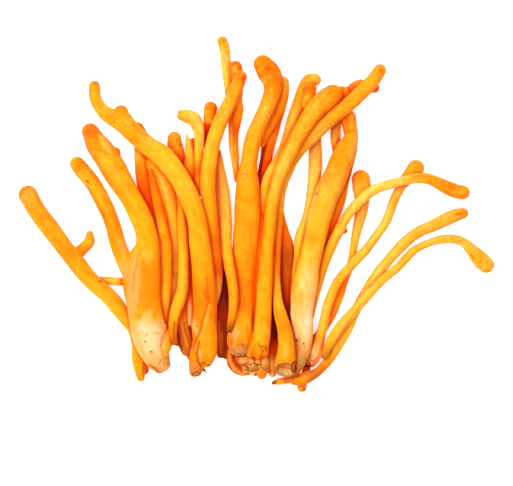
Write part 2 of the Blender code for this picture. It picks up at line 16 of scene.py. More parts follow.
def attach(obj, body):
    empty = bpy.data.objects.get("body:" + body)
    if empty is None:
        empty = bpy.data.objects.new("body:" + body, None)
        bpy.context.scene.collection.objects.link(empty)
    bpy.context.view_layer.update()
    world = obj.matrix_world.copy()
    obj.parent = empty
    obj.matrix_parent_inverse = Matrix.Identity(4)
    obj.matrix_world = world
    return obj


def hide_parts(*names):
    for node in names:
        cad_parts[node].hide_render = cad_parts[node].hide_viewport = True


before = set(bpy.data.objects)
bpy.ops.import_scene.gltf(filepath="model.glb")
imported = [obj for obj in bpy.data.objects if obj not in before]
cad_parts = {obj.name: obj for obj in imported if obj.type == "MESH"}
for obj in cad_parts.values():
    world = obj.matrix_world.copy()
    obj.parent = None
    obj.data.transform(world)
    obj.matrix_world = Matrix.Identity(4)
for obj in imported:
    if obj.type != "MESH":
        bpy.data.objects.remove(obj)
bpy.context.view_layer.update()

# One step of the plan in metres, and the plan point over the origin
STEP = 0.1429 / 476.2
PLAN_CENTRE = (256.4, 214.5)
MM = 0.001

# A stem is nearly round while it is slim and flatter the broader it grows
ROUNDNESS = 0.92
BROAD_HALF_WIDTH = 22.0 * STEP

# How far an end bulges past its last point, in half widths
TIP_BULGE = 1.0
FOOT_BULGE = 0.55

# Spacing of the skin's grid, of the samples along a line, and of a fused skin's cells, and the
# steps of the curve from one given point to the next
PITCH = 0.30 * MM
SAMPLE = 0.5 * MM
FUSED_CELL = 0.28 * MM
CURVE_STEPS = 24

# Tones of the flesh as seen in daylight, red, green and blue out of 255
TONES = {
    "paper": (255, 214, 152), "cream": (255, 204, 118), "light": (255, 206, 78),
    "straw": (255, 192, 60), "yellow": (255, 180, 34), "amber": (255, 166, 18),
    "melon": (255, 162, 40), "peach": (255, 184, 98), "orange": (255, 147, 8),
    "deep": (254, 124, 4), "ember": (242, 94, 2), "red": (198, 58, 4), "maroon": (122, 27, 2),
    "tan": (214, 146, 70), "clay": (208, 114, 32), "rust": (190, 84, 14), "brown": (134, 58, 10),
}

# The bunch from the bottom of the heap up: name, material slot, how strongly shade is painted on its
# sides, and a text of up to three parts with bars between them. Values left out at an end are 0.
# The piece's lines: plan points as x, y and half width, from the tip to the foot or to the place
# where it grows from the main line; tones by share of the length, which hold the flesh's own colour
# and painted shade where shade falls on the stem; and a lift in millimetres.
# Marks on its upper skin: tone, strength from 0 to 1, x, y and two half sizes in the plan, a turn
# in degrees and a lift in millimetres. They are the flesh's own spots and patches, and in places
# painted highlights and painted shade.
# Strokes along its upper skin: tone, strength, half width and lift; and plan points. They are
# creases, grooves and holes, and in places painted shade along rims.
PIECES = {
    "far_left_cross_stem": ("deep_orange_flesh", 0.3, """
86.5 284.6 2.6, 93 282.6 3.8, 102 280.6 4, 118 281.6 4, 134 283 3.4: amber .3, straw .6, amber 1
| ember .3 124 281 5 3"""),
    "far_left_club": ("orange_flesh", 0.6, """
27.6 194.8 9.5, 39.4 214 9.4, 72.2 257.6 8.7, 90.2 279.2 8.5, 109.6 297.6 8.4, 118.2 308 8.2,
129.6 323.8 6.5, 134.2 331.8 6, 137.4 346 6.3, 138.8 362 6.9, 140.8 379.4 3.9: melon 0, amber .06,
amber .2, orange .3, amber .45, yellow .6, amber .75;
89.8 234.4 3.9, 89.4 241.6 5.6, 84.4 247 5.8, 79 252 6: amber .5, deep 1;
145.8 371 3.2, 144 362 4.6, 140 357 5: rust 0, ember .5, deep 1
| straw .5 29 197 7 8 40, orange .6 44 216 6 4 40, deep .5 84 262 5 4 40, orange .5 96 278 6 5,
rust .8 101 281.4 2.6 1.6 20 -.12, orange .6 57 252 1.4 1.2, orange .35 40 204 3 2 40,
rust .8 143.6 368 1.8 8 6, rust .6 144 377 1.4 3 0 -.1
| deep .6 1.6: 21 194, 24 189, 29 187; orange .6 4: 37 191, 48 208, 56 222; orange .5 3: 104 288,
116 300, 126 312"""),
    # Its second line lies low in the slit beside the forked club, dark as painted shade.
    "dark_left_back_stem": ("dark_red_flesh", 0.5, """
137.6 128.6 6.7, 141 138 7.1, 141.3 155 7.2, 142.4 167 7.9, 144.4 179 8.8, 147.4 192 9.2, 151.2 205 8.4,
154.4 218 6.4, 156 230 4.4: amber 0, yellow .24, deep .38, ember .6, ember .72, orange .88, straw 1;
155.6 224 3.4, 158.6 240 3, 160.2 262 2.8, 161 296 2.4: light 0, amber .23, maroon .6: -.8
| orange .5 140 150 4 5, ember .5 146 182 4 6"""),
    "left_shaded_stem": ("deep_orange_flesh", 0.6, """
153.2 163 7, 156.6 172 8, 161.4 183 9.6, 166 196 10.5, 169.8 209 9.2, 173 224 6.8, 175.4 242 5,
175.8 262 4.8, 174.8 280 4.8, 172.4 297 4.4, 170.4 315 4.3, 169.6 331 3.8: amber 0, straw .06, straw .2,
yellow .3, straw .38, light .5, rust .6, straw .7, light .82, orange 1
| amber .5 157 172 3 12 -14
| ember .5 .9 -.1: 156 172, 161 185, 165 200, 168 220, 170 240; yellow .7 3: 164 172, 171 192, 174 215,
175.6 240, 175.8 270"""),
    "left_thin_stem": ("orange_flesh", 0.7, """
159.6 212 4.2, 162.8 227 5.5, 165.8 243 5.9, 166.4 262 6, 165.4 299 5.3, 165 323 3.6: deep 0, orange .2,
amber .55, yellow .8, orange 1;
150.8 171 2.4, 153.4 182 3.8, 156.8 197 4.8, 160.4 214 5.2, 163.4 230 5: deep .73, yellow 1: .5"""),
    "left_broad_dark_foot": ("dark_red_flesh", 0.3, """
187.4 297 2.6, 184 321 6.6, 184.8 333 7.9, 186.4 344 8.2, 188 352.4 6.4: deep 0, amber .2, amber .4,
clay .6;
190.6 358.6 3, 189 350 5.6: rust 0, ember 1;
176.6 344.6 1.8, 176.4 334 3.4, 178 322 4, 182 314 3: tan 0, red .33, straw .72, orange 1: -.3
| clay .6 189 346 4 8
| brown .9 .9 -.2: 188 320, 190.4 330, 193 341, 192 350; maroon .7 1.4 -.1: 178 334, 179 342, 181.6 348;
melon .6 1.3 .12: 180.4 320, 183 332, 187.6 346; rust .7 .8 -.12: 184 322, 186 334, 190 345"""),
    "left_peach_sliver": ("cream_flesh", 0.3, """
186.8 213 2.8, 188.8 232 3.6, 190.2 256 3.8, 190.6 303 3.6, 190.8 324 3: red 0, ember .12, deep .3,
ember .6, ember .72, peach .85"""),
    "left_round_red_tip": ("deep_orange_flesh", 0.5, """
174.2 138.2 6.8, 175 146 7.9, 177 155 8.2, 179.6 166 6.6: orange .4, deep .7, ember 1
| yellow .6 174 136 4.6 4, maroon .8 179.8 144.6 1.2 1.2, red .8 178.6 154.7 1 1, deep .6 173 150 2.6 7"""),
    "left_pointed_sliver": ("orange_flesh", 0.5, """
186.7 134.4 1.2, 187.8 141 2.8, 189.6 148.5 4.2, 190.2 157 5, 189.6 167 6.1, 190.4 177 5.8, 192.2 187 4:
cream 0, straw .25, yellow .45, amber .62, orange .8, deep 1;
193 139.4 2, 191.6 149 3.2: ember 0, red 1
| ember .5 186.6 160 3 4"""),
    # Its second line lies low in the slits between the stems above it, darkened towards its foot as painted
    # shade.
    "brown_back_stem": ("dark_red_flesh", 0.6, """
226 264 3, 224.2 290 5.8, 223 305 6.2, 221 336 6, 220.8 348 5.2, 221.6 356 4.2: maroon .35, red .55,
rust .7, clay .8, rust .9, brown 1;
216.4 174 1.6, 217.6 200 2.6, 219.8 225 2.6, 222.4 250 3, 225 268 3: yellow 0, rust .28, deep .54,
maroon 1: -.5;
226.4 357 3, 225.4 342 3.8, 224 322 3.4, 223 304 3: rust 0, red .3, maroon .6: -.3
|
| clay .7 1.2 .1: 218.4 322, 219.4 338, 221 352; brown .8 1 -.15: 223 300, 223.6 325, 225 350"""),
    "forked_club": ("orange_flesh", 0.5, """
90.4 131.7 8.8, 96.6 143.6 11.2, 105.2 155.2 12.3, 112.8 167.2 13.1, 120 179.6 11.9, 129.2 194.6 10.8,
139 213 10.6, 145.8 230 11.2, 148 246 12.4, 143.8 262 17, 141.5 280 19.2, 143.5 300 17.3, 146.2 320 17.8,
148.8 332 17.4, 150 342 15.2, 152.6 351 12.8, 159 361 12.4, 162.8 367.2 9: deep 0, orange .05,
yellow .12, amber .25, amber .5, orange .6, orange .72, amber .79, peach .83, cream .88, peach .93;
77 163.8 7.5, 82.4 170.8 7.9, 94.2 185.8 8, 104.4 204.6 8, 113.6 227.6 7.8, 117.8 243 7.8, 124 259 8.6,
131 273 9: amber 0, orange .04, yellow .1, amber .25, orange .5, orange .7, amber .85, peach 1;
115.4 152.4 5.4, 109 158 8: ember 0, amber 1;
169.2 330.4 2.4, 168.4 337 4, 166.2 345 5.8, 161 353 7: orange 0, amber .4, straw .75, cream 1
| deep .7 91 127 6 3.4 20, orange .5 88 140 6 5, light .85 105 143.4 12 3.6 58,
orange .6 115 151 5 3 50 .05, amber .5 74 163 2 3, deep .55 78 162 3.4 4 40,
red .9 87.6 181.6 3 1 44 -.1, red .7 104.3 215.4 1.4 1.8 0 -.06, red .8 122.4 168 1.1 1.1,
orange .45 114 226 6 5, peach .4 123 246 4 9 -20, rust .6 146.6 246.4 1 1, straw .6 149 255 6 6,
peach .6 134 287 7 34 3, orange .5 149 298 5 24 -3, cream .6 146 320 5 12 22,
paper .75 151 338 13 17 -28, peach .6 139 342 4 15 -16, deep .7 147.4 334 1.3 1.5 20 -.08,
rust .85 145.4 341.4 1.2 1 0 -.1, rust .8 151.8 351.6 2 1.4 20 -.12, tan .75 165.6 362 5 5 0 -.2,
brown .7 169 328.6 1.2 1.2 0 -.1, amber .85 167.4 346 3.6 14 4 .1, tan .8 165 374 1.6 2.6 0 -.5
| deep .7 2.4: 95 125, 104 133, 112 144; orange .7 .9 -.04: 93.5 149, 102 151.4, 110 154; orange .55 2.2:
95 157, 101 169, 108 181; deep .6 2: 83 161, 91 172, 98 181; deep .45 2.4: 90 191, 98 205, 104 218;
orange .7 1 -.1: 168 330, 163.4 337, 161.6 345, 162.6 352, 165 357; rust .5 .9 -.05: 159 364, 161.5 359,
166 356.6, 170 358; rust .9 1.2 -.1: 149.5 365, 155.6 368, 159.4 372.4, 163.6 374; deep .7 .7 -.05:
170 335, 171.4 338, 169.8 341; orange .5 1: 155 332, 160 333.4, 165 333; deep .5 1.4 -.05: 137 263,
134.6 276, 133.6 292"""),
    "left_slim_stem": ("yellow_flesh", 0.6, """
180.4 197.4 3.6, 182 206.6 4.2, 181.8 218 4.7, 183.3 248 5.1, 183.3 280 5.5, 182 292 5.9, 179 302 6.2,
175.8 311 5.8, 173.4 321 4.8, 173 332 4.2, 174.6 343 3.6: amber 0, yellow .25, yellow .7, amber .82,
orange .9, rust 1
|
| rust .8 1.2 -.05: 174.6 322, 174 332, 174.6 342"""),
    # Its thin yellow mark across the cap is a painted highlight.
    "short_grainy_club": ("deep_orange_flesh", 0.6, """
210.5 108.2 7, 209.6 116.5 6.4, 208.2 125 4.9, 207.4 134 3.9, 207.3 146 3.4, 206.5 158 2.6: orange 0,
amber .17, yellow .26, ember .35, ember .42, red .6, maroon 1
| yellow .8 208 112.2 4.6 .9 0 .05, yellow .85 209 121 5 2.6, ember .6 215 110 2 5, orange .6 207 105 3 2"""),
    "small_hooked_club": ("yellow_flesh", 0.6, """
182.6 115.2 5.7, 187.8 116.6 7, 193 118.6 7.2, 197.2 125 6.6, 199 133.5 5.4, 199.3 145 4.7,
198.6 170 4.4, 199.4 183 4.2, 201.6 195 3.2: straw 0, light .12, light .25, straw .4, yellow .55,
ember .72, orange .86
| ember .6 194.5 128 1.2 .8, deep .6 180 113 2.4 1.8 30, ember .5 197.4 133.6 1.2 .8,
straw .5 187 116 3 2"""),
    "tall_pale_stem": ("yellow_flesh", 0.5, """
222.4 41 5.1, 225 50 5.2, 225.6 60 5, 228 82 5, 231.2 112 3.9, 232.6 145 3.8, 235 162 3.7, 237.2 181 2.8:
amber 0, straw .04, light .08, light .2, straw .3, yellow .45, straw .6, light .74, straw .9, amber 1
| ember .7 224 42.4 1.2 1, orange .7 226 47 1.1 .8, orange .8 227 52.6 1.3 .9, cream .7 224.6 57 2.6 5"""),
    "red_capped_stem": ("deep_orange_flesh", 0.6, """
235.8 67.4 6.7, 237.6 78 6, 238 90 5.2, 237.4 101 5, 238.2 111 5.2, 235.8 133 3, 235.8 146 2.6,
236.8 160 2.4: deep .06, amber .12, yellow .2, amber .35, orange .5, ember .7, orange .85, amber 1
| straw .9 235 70 3.4 4, red .6 234 64 2 1"""),
    "curved_foot": ("orange_flesh", 0.6, """
231.4 348 4, 231.4 356 4.8, 233.4 363 6.4, 238.4 368.6 6.2, 244 371.4 4.8, 249.6 372.2 3: clay 0,
red .25, red .5, rust .7, red .85, rust 1
|
| melon .8 2 .05: 228.8 352, 230 362, 234.6 369.6, 242 374.6, 249 375.4"""),
    "base_knobs": ("cream_flesh", 0.4, """
240.6 359.4 5.4, 246 361.6 7.6, 253 362.4 8.8, 260.6 361.6 9, 264.8 361.4 7.4: clay 0, tan .5, light 1;
253 370.8 4.3, 256 364 5: cream 0, peach 1;
261.8 374.4 5, 263 366 6: orange 0, tan 1;
262 353 4.6, 261 361 6: red .4, clay 1;
246 369.4 3.8, 250 363 5: peach 0, clay 1;
238.6 358 4.2, 244 361.6 4.6: clay 0, peach 1: .7;
250.4 359.4 3, 251.6 361 3.2: peach 0, cream 1: 1.1;
258 360 3.4, 259.4 361.4 3.4: light 0, straw 1: 1.2;
246 367.4 3, 252 368.6 3.2: tan 0, clay 1: .9;
256 366 3.2, 257 368 3: rust 0, clay 1: 1.2;
264 364.4 3.6, 265.4 367.6 3.8: tan 0, clay 1: .9;
268.6 371 2.4, 267 367 2.6: rust 0, deep 1: .3;
255 374.4 2, 257 371 2.6: clay 0, tan 1: .4;
244.4 357.4 2.2, 247 359 2.6: peach 0, cream 1: 1;
262.6 359.2 2.2, 263.6 361.4 2.4: melon 0, peach 1: 1.3
| peach .6 241 360 2.6 2.4, cream .6 252 361 2 1.6
| rust .9 .8 -.2: 236.6 357, 237 363, 242 365.4, 247 363; rust .8 .7 -.2: 248 364.6, 254 363, 260 364.6;
brown .8 .7 -.2: 244 370, 250 371.6, 256 370.6; brown .8 .8 -.25: 254.6 357, 254.4 362, 256 364.6,
261 365; maroon .8 .8 -.25: 243 364.6, 246.6 366, 248.6 369.4; rust .8 .8 -.2: 260.6 358, 261 363,
263 370"""),
    # The maroon stroke down its left edge is painted shade.
    "centre_dark_club": ("dark_red_flesh", 0.5, """
281.3 106 5, 277.3 118 5.3, 270.6 138 6.5, 267.7 148 6.6, 266.4 158 6.2, 264 168 5.8, 261.3 178 4.8,
260.7 190 3.4, 261.4 204 2.3: deep .13, orange .33, deep .45, ember .55, ember .75, red .86
|
| maroon .85 1.8 -.1: 265 146, 261.6 160, 259 176, 257.6 190"""),
    "centre_side_club": ("deep_orange_flesh", 0.6, """
282.1 82.8 6.8, 282.2 92 6.8, 280.2 102 6.8, 276.2 112 6.7, 266 131.4 5.6, 262.8 139 4.8, 261.4 145 3.8:
straw .08, orange .25, orange .5, amber .8, orange 1
|
| ember .55 1 -.08: 279 96, 276 112, 270 128; orange .5 1.4: 286 92, 285 106, 280 122"""),
    # Its four small cream marks near the top are painted highlights, and its long ember mark down the right
    # rim is painted shade.
    "big_centre_club": ("orange_flesh", 0.8, """
263 64.9 9.6, 267.2 71 11.4, 272 80 10.8, 272.7 90 8.9, 269.9 100 8.6, 261.8 118.5 7.9, 253.9 138 8.2,
251 149 8.1, 249.4 161 8.2, 248 172 9.7, 247.6 184 11.4, 248.2 218 13.9, 246.2 254 13.8, 246.6 268 12.2,
246.7 281 10.6, 246.2 295 9.7, 245 308 9.6, 243 319 10.6, 241 330 12.4, 239.6 341.6 12.6, 240 350.4 9.8:
orange 0, deep .03, orange .08, amber .12, straw .16, amber .3, amber .6, orange .7, deep .76, deep .85,
amber .91, orange .96, tan 1
| ember .8 267.6 69.4 3.6 3.2, rust .8 258 69 1 1 0 -.05, rust .6 261 67.6 1 .8 0 -.05,
ember .7 261.6 103.4 .9 1.3, ember .7 247 140 1.5 1, red .8 249.6 281.6 1.2 .8 0 -.05,
straw .6 264 82 3.4 5, cream .7 269 77 .8 .8 0 .04, cream .7 270.8 91 .9 1.5 20 .04,
cream .7 270.6 98 .7 1 0 .03, cream .7 255 126 1 .9 0 .04, orange .5 244.6 176 3.6 7,
peach .8 244.4 171.6 1.8 1.5 0 .05, peach .8 244.2 176.6 1.7 1.4 0 .05,
peach .7 245.2 181.6 1.8 1.5 0 .05, melon .5 248.6 190 1.4 3 0 .03, ember .7 254.8 300 3.2 48 -2,
orange .5 234 279 1.5 23 -13 -.1, straw .7 236.6 312 1.5 8 5, brown .9 235 315 1 3.4 12 -.16,
peach .5 235 333 6 6, tan .8 239 349.6 8 5 6 .1, rust .4 244 346 3.4 3,
deep .85 237.5 349.5 1.2 1.2 0 -.1
| ember .85 .6 -.12: 231 333.6, 233 337.6, 230.6 340, 232 343, 230 346; ember .7 .5 -.1: 228.6 335,
229.4 340, 228.4 345; ember .7 .8 -.1: 247.6 326, 248.4 338, 248.8 350; rust .6 .9 -.12: 232 349,
236 353, 241 354.6; rust .5 .8 -.08: 236 345.6, 240 343.6, 245 344.4"""),
    "slim_centre_stem": ("yellow_flesh", 0.6, """
218.3 151 2.4, 218.8 161 4.2, 222.6 190 6.7, 225.1 220 6.7, 225.6 235 6.3, 226.9 250 5.7, 229 264 5.4,
231.8 279 5.2, 233.3 292 5, 233.5 303 4.8, 232.5 314 4.2, 230.6 324 3.4, 229.2 331 2.4: orange 0,
light .06, light .22, straw .34, yellow .5, amber .75, orange .92, brown 1"""),
    "pale_leaning_club": ("yellow_flesh", 0.7, """
240.6 77.3 6.3, 232.6 97.4 6.9, 222.8 117 7.3, 215 137 7.4, 210.4 157 7.4, 208.2 175 7.4, 208.2 193 7.6,
212.3 235 7.4, 214 255 7.2, 216 274 6.8, 215.5 288 6.2, 213 303 5: orange 0, amber .04, yellow .12,
yellow .35, amber .52, amber .62, deep .71, deep .8, ember .87, straw .94, cream 1
| ember .8 243 79 2.6 3.6 20, straw .6 226 113 3 12 28"""),
    "long_left_club": ("orange_flesh", 0.6, """
94.4 86.3 5.9, 94.8 96 6.1, 97.4 103.2 6.3, 101.6 109.2 6.5, 106.4 113.8 7.4, 119 120.4 9.4,
127.4 126.6 9.9, 136.8 136.4 9.6, 147.6 146 9.5, 158 153.2 10.6, 166 160 10.9, 179.5 178 10, 191 201 10,
197.5 222 9.9, 200.8 248 10.5, 203.8 276 11.4, 205.3 304 12, 205.4 318 11.7, 208 334 9.2, 208 352 9,
205.6 363 6.4: amber 0, yellow .03, yellow .08, amber .14, amber .24, yellow .33, yellow .43, amber .55,
amber .66, orange .74, deep .81, orange .87, amber .94, orange 1;
195.6 371.2 6.4, 195.6 357 6.4, 199 340 6.3, 203 322 6: tan 0, orange .25, deep .6, orange 1;
195.6 335 3.6, 197.4 322 5, 201 308 6: orange 0, peach .4, amber 1;
121.4 112.8 7.6, 121 118.4 9.2: amber 1;
206.4 372.4 1, 203.6 369 1.7, 200.4 364 2: brown .5, straw 1: -.3;
125.6 119 7, 127.6 124.4 9: amber 0, yellow 1
| deep .6 96.6 83 3.6 3, deep .7 120.6 107.6 6 1.8 8, straw .5 127 121 5 7 -40, straw .6 152 143 14 4 30,
orange .45 111 116 5 4, deep .6 158.7 151 1 1, ember .8 207 295 3 6 -20 -.16,
peach .85 197.2 331 3 5 0 .05, ember .8 197.4 325.6 1.6 1.3 0 -.1, cream .55 200 354 2 6 -10 .1,
rust .95 204 363 2.2 1.7 0 -.2, brown .8 208.6 366 1.3 2.2 20 -.1, deep .5 189.4 229 1.3 1
| orange .5 1: 134 123, 135.6 132, 138 142; orange .45 2: 89.6 88, 90 97, 93 106; ember .7 1 -.14:
207.6 278, 207.8 290, 210.6 299; ember .85 1.1 -.24: 209.6 299, 205 314, 200.4 330, 195.6 341, 190.6 348;
straw .5 1.8 .1: 210 306, 206.4 320, 202 336, 196.4 350; rust .85 1 -.2: 199.6 341, 197.4 351, 198 360,
201 366; orange .5 1.2: 211.6 318, 212 336, 210.6 352"""),
    "hooked_centre_club": ("yellow_flesh", 0.5, """
314.8 79.5 6.5, 309.4 80.6 7, 305.8 86.2 7.2, 302.6 94 7.5, 297.2 112 7.8, 288.4 142 7.7, 284.9 152 7.9,
279.9 161 7.6, 274.2 170 7.3, 269.6 180 7, 267 191 6.2, 265.3 214 4: straw 0, amber .04, yellow .08,
yellow .2, straw .3, amber .52, yellow .62, straw .7, amber .84, orange .92, ember 1;
265.6 206 4, 263.4 235 4, 259.6 272 4.6, 255.4 308 4.6, 253 345 4: deep .35, ember .6, maroon 1: -1
| yellow .7 309.6 84 4 3 -20, orange .4 301 84 3 4 30"""),
    "small_dark_tip_club": ("deep_orange_flesh", 0.5, """
310.2 89 6.4, 308.8 97.5 5.9, 306 107 4.6: deep 0, orange .3, amber .5, yellow 1
| yellow .5 309 99 4 4"""),
    # Its second line lies low in the slit beside the broad cream club, dark as painted shade.
    "dark_centre_back_stem": ("dark_red_flesh", 0.4, """
280.8 207 2.6, 281.8 218 3.6, 284.6 232 4.8, 287 245 6.6, 287.4 262 6.8, 287.6 308 5.4, 288.2 322 4.6:
amber 0, orange .12, deep .2, rust .4, rust .6, red .8, maroon 1;
281 236 3.2, 282.4 262 3.8, 284 290 4, 287 315 4, 290.4 332 3.8, 294 350 3.2: deep 0, red .3, maroon .6,
maroon .85, rust 1: -.3
| maroon .95 293 266 1.4 1.8 0 -.1"""),
    "pale_back_stem": ("yellow_flesh", 0.6, """
315.2 134 6.2, 315.4 157 6.9, 314 184 6.7, 312.3 198 6.5, 309.6 212 6.4, 305.8 224 6.2, 301 235 5.8,
299.2 247 5.4, 297.6 270 3.4: straw 0, light .12, light .5, straw .7, yellow .88, amber 1;
299.4 248 4.6, 296.8 268 4.4, 293.6 288 3.4, 291.6 304 2.4: yellow 0, amber .6, ember 1: -.1
| deep .8 308 195 1.3 .9, orange .3 309.6 139 4 5"""),
    "right_dark_back_stem": ("dark_red_flesh", 0.4, """
274.2 300 3, 273.6 325 5, 272.8 338 5.2, 274.8 350 4.9, 276.6 361 5, 277 370 4.4: maroon .52, red .6,
amber .7, straw .86, peach 1;
272.4 236 2.2, 272.8 270 2.6, 274.2 306 3: deep .5, red 1;
272.6 374 3.8, 272.2 362 5.4, 272.6 350 4.6, 273 342 3.4: peach 0, light .35, ember .7, red 1: .5
| light .5 272 366 5 7, ember .7 276.8 366 1.2 9
| ember .7 .8 -.1: 279 350, 277.6 360, 276.6 368"""),
    "right_dark_club": ("dark_red_flesh", 0.4, """
351.6 150 5.7, 346.2 172 5.6, 343.4 182 5.7, 338.9 202 6.1, 331.2 222 6.1, 326.8 233 5.6, 322.8 245 5,
319.7 258 4.4: deep .22, orange .36, orange .5, deep .7, red .9, maroon 1"""),
    "short_grown_foot_stub": ("orange_flesh", 0.5, """
301.4 388.4 4, 305.5 373 4.2, 307.5 366 3.8: yellow 0, amber .5, orange .8, maroon 1;
301.8 388 4.7, 303.6 380 4.4: yellow 0, amber 1: .2
| brown .8 304 389.6 1.3 1.2 0 -.1"""),
    # Its ember mark under the arching stem is a painted shadow.
    "knob_headed_stem_left": ("orange_flesh", 0.6, """
361 179 9.2, 361.6 188 9.2, 362 198 7.7, 361.7 208 6.7, 360 218 5.7, 355.4 238 4.3, 352.3 257 3.8,
350 266 4, 342.8 285 4.3, 340 295 4.3, 332.5 314 4.1, 327.3 323 3.9, 320.8 332.4 4.5, 314.8 341 4.5,
310.8 350 4.4: amber 0, straw .05, straw .16, light .22, straw .3, yellow .4, amber .52, deep .6,
yellow .68, orange .77, yellow .83, ember .93, maroon 1
| red .7 361 173 1.1 1.1 0 -.05, ember .6 362 177.4 .9 .9, yellow .5 362 187 5 5,
ember .6 353 212 2.2 6 20
| ember .6 1.6: 341 292, 335 305, 330 316"""),
    "knob_headed_stem_right": ("yellow_flesh", 0.5, """
416 168 8.3, 402.2 184 5.7, 398 192 4.8, 394.2 200 4.7, 388.6 216 4.6, 384.8 223.7 4.7, 379.5 231.5 4.6,
367.4 248 4.6, 360.8 255.2 4.6, 347.8 269 4.7, 340.8 277 4.7, 335.4 286 4.7, 327.6 305 4.5,
323.7 322 4.7, 319.4 340 5.2, 316.8 349 6.4, 313.4 357.6 6.8, 309.8 363.6 5.4: amber 0, yellow .09,
straw .13, straw .2, light .27, straw .4, yellow .6, straw .8, amber .87, peach .95, clay 1
| ember .6 409 166 1.3 1, ember .6 417.4 172 1.3 1, ember .6 413 174 1 .9, yellow .5 412 169 2 1.4 0 .04,
cream .85 317.4 357 3.4 9 36 .05, rust .7 319.6 354 .9 .9 0 -.08, rust .8 313.6 360.6 1 .8 0 -.08
| maroon .95 1.7 -.3: 303.4 360.6, 304.8 363.4, 307 365, 309.6 366; orange .7 .7 -.08: 311 361.6,
315 360.6, 318 355, 321 349; rust .7 .8 -.06: 313 361.6, 316 359, 319 357"""),
    # The small straw, cream and yellow marks at its tip are painted highlights.
    "arching_stem": ("yellow_flesh", 0.6, """
462.6 192.3 7.4, 456 191 7.3, 448 188 7.1, 432.4 180.2 5.6, 424 178 5.3, 415 178.4 5.2, 406 180 4.9,
388 184.7 5, 380 187.4 4.8, 372 191.2 5, 365 196.2 5.1, 352 209.4 5.3, 341.8 225 5.2, 337.8 233 5.3,
333.6 241 5.2, 327 257 4.8, 322 273 4.2, 312.4 310 3.2, 310.6 320 2.8: amber 0, orange .05, amber .12,
yellow .17, straw .22, light .34, light .46, straw .56, yellow .66, amber .8, straw .95, amber 1;
345 231 2.8, 339 229 4: ember 0, orange 1
| straw .9 452 193 1.5 1.3 0 .05, cream .8 455.6 192 1.2 1.2 0 .05, straw .9 461 192 1.5 1.3 0 .05,
yellow .6 457 196.4 1.2 1 0 .04, peach .8 403 185.2 3.4 1.2, deep .5 430 183 3 1.8 20
| orange .6 1.3 -.05: 412 176.6, 424 176.4, 434 179, 443 183.6; orange .5 1: 352 205, 345 215, 338 228"""),
    "pointed_root_left": ("orange_flesh", 0.4, """
273.2 383.2 1.7, 280 381.4 3.5, 288 380.2 3.6, 294.6 377.2 2.9, 298.6 371 2: rust 0, yellow .2, straw .6,
orange 1
| brown .85 274 382 2.4 2
| rust .7 .6 -.05: 280 380.4, 288 379, 294 376"""),
    "pointed_root_right": ("deep_orange_flesh", 0.4, """
285 381.4 1.4, 292 379.6 2.5, 300 376.4 3, 314.6 370.8 2.3, 319 367.4 1.9: clay 0, orange .2, deep 1"""),
    "thin_diagonal_stem": ("deep_orange_flesh", 0.5, """
375 88 4.6, 368 87.4 6.3, 360 86.4 7.3, 353 90.4 7, 346 98 6.2, 340.8 108 5.4, 337.2 119 5,
335.9 130 5.1, 335.9 141 5, 337 151 4.4: deep 0, yellow .08, deep .25, ember .38, orange .48, straw .62,
straw .9, amber 1
| ember .6 336 126.4 1 1, red .5 341 103 5 4 -50"""),
    "lumpy_tip_club": ("orange_flesh", 0.5, """
348 118 8, 351 134 6.8, 350.6 143 6: orange 0, amber .4
|
| ember .7 .8 -.2: 344 117, 347.4 121, 346 127, 348.6 131; yellow .6 1.6 .25: 350 115, 352 122, 351 130;
ember .6 .7 -.15: 341 123, 344 128, 345 133"""),
    "broad_cream_club": ("orange_flesh", 0.4, """
350.8 138.6 7.3, 347.6 146.5 10.1, 343.7 155 11.1, 339.4 165 11.5, 335.9 175 11.6, 331.2 185 12.2,
326.7 195 12.2, 318.4 220 11.6, 315.5 235 11.3, 309.3 262 10.8, 306.9 276 11.7, 304 290 12.2,
302.2 304 12.3, 301.7 316 11.9, 303.8 338 9, 300.6 358 7, 294.6 374 3.4: amber .12, straw .2, yellow .38,
yellow .5, straw .6, straw .66, cream .76, cream .84, peach .88, tan .93, clay 1
| peach .65 353 149 2.6 13 15, brown .9 316 194 2.5 1 -26 -.14, cream .75 306 298 9 36 6,
paper .9 307.6 320 5.2 17 8, rust .6 298 346 3.4 12 6, brown .9 296.4 340 1.5 1.3 0 -.12,
maroon .95 303.6 343.4 1.3 1.3 0 -.12, rust .8 304.6 346.6 1 .8, orange .7 302.4 294.4 .9 .9,
peach .6 313 285 2 18 6, tan .6 302 356 4 8 14, orange .65 312.6 238 7 7 10, straw .6 309.6 256 5 7 10,
amber .7 300 298 4 8 14, yellow .5 318 215 6 14 14, orange .4 322 178 9 10 20
| peach .5 1.1 .04: 315.6 190, 312.6 205, 309 222, 306 238; peach .6 .9 .04: 317 245, 315.4 254, 313 262;
maroon .95 .9 -.35: 295.6 362, 292.4 363.6, 291.6 368, 292.6 372; maroon .9 .8 -.3: 294.6 365, 295.8 369,
293 373.4"""),
    "small_leaning_lobe": ("deep_orange_flesh", 0.5, """
341.8 93 7.2, 337.2 100.3 7.2, 326 115 4.6: orange 0, amber .3, deep .6, ember 1;
332 106 5, 320 120 5, 311 132 4: ember 0, red 1: -.3"""),
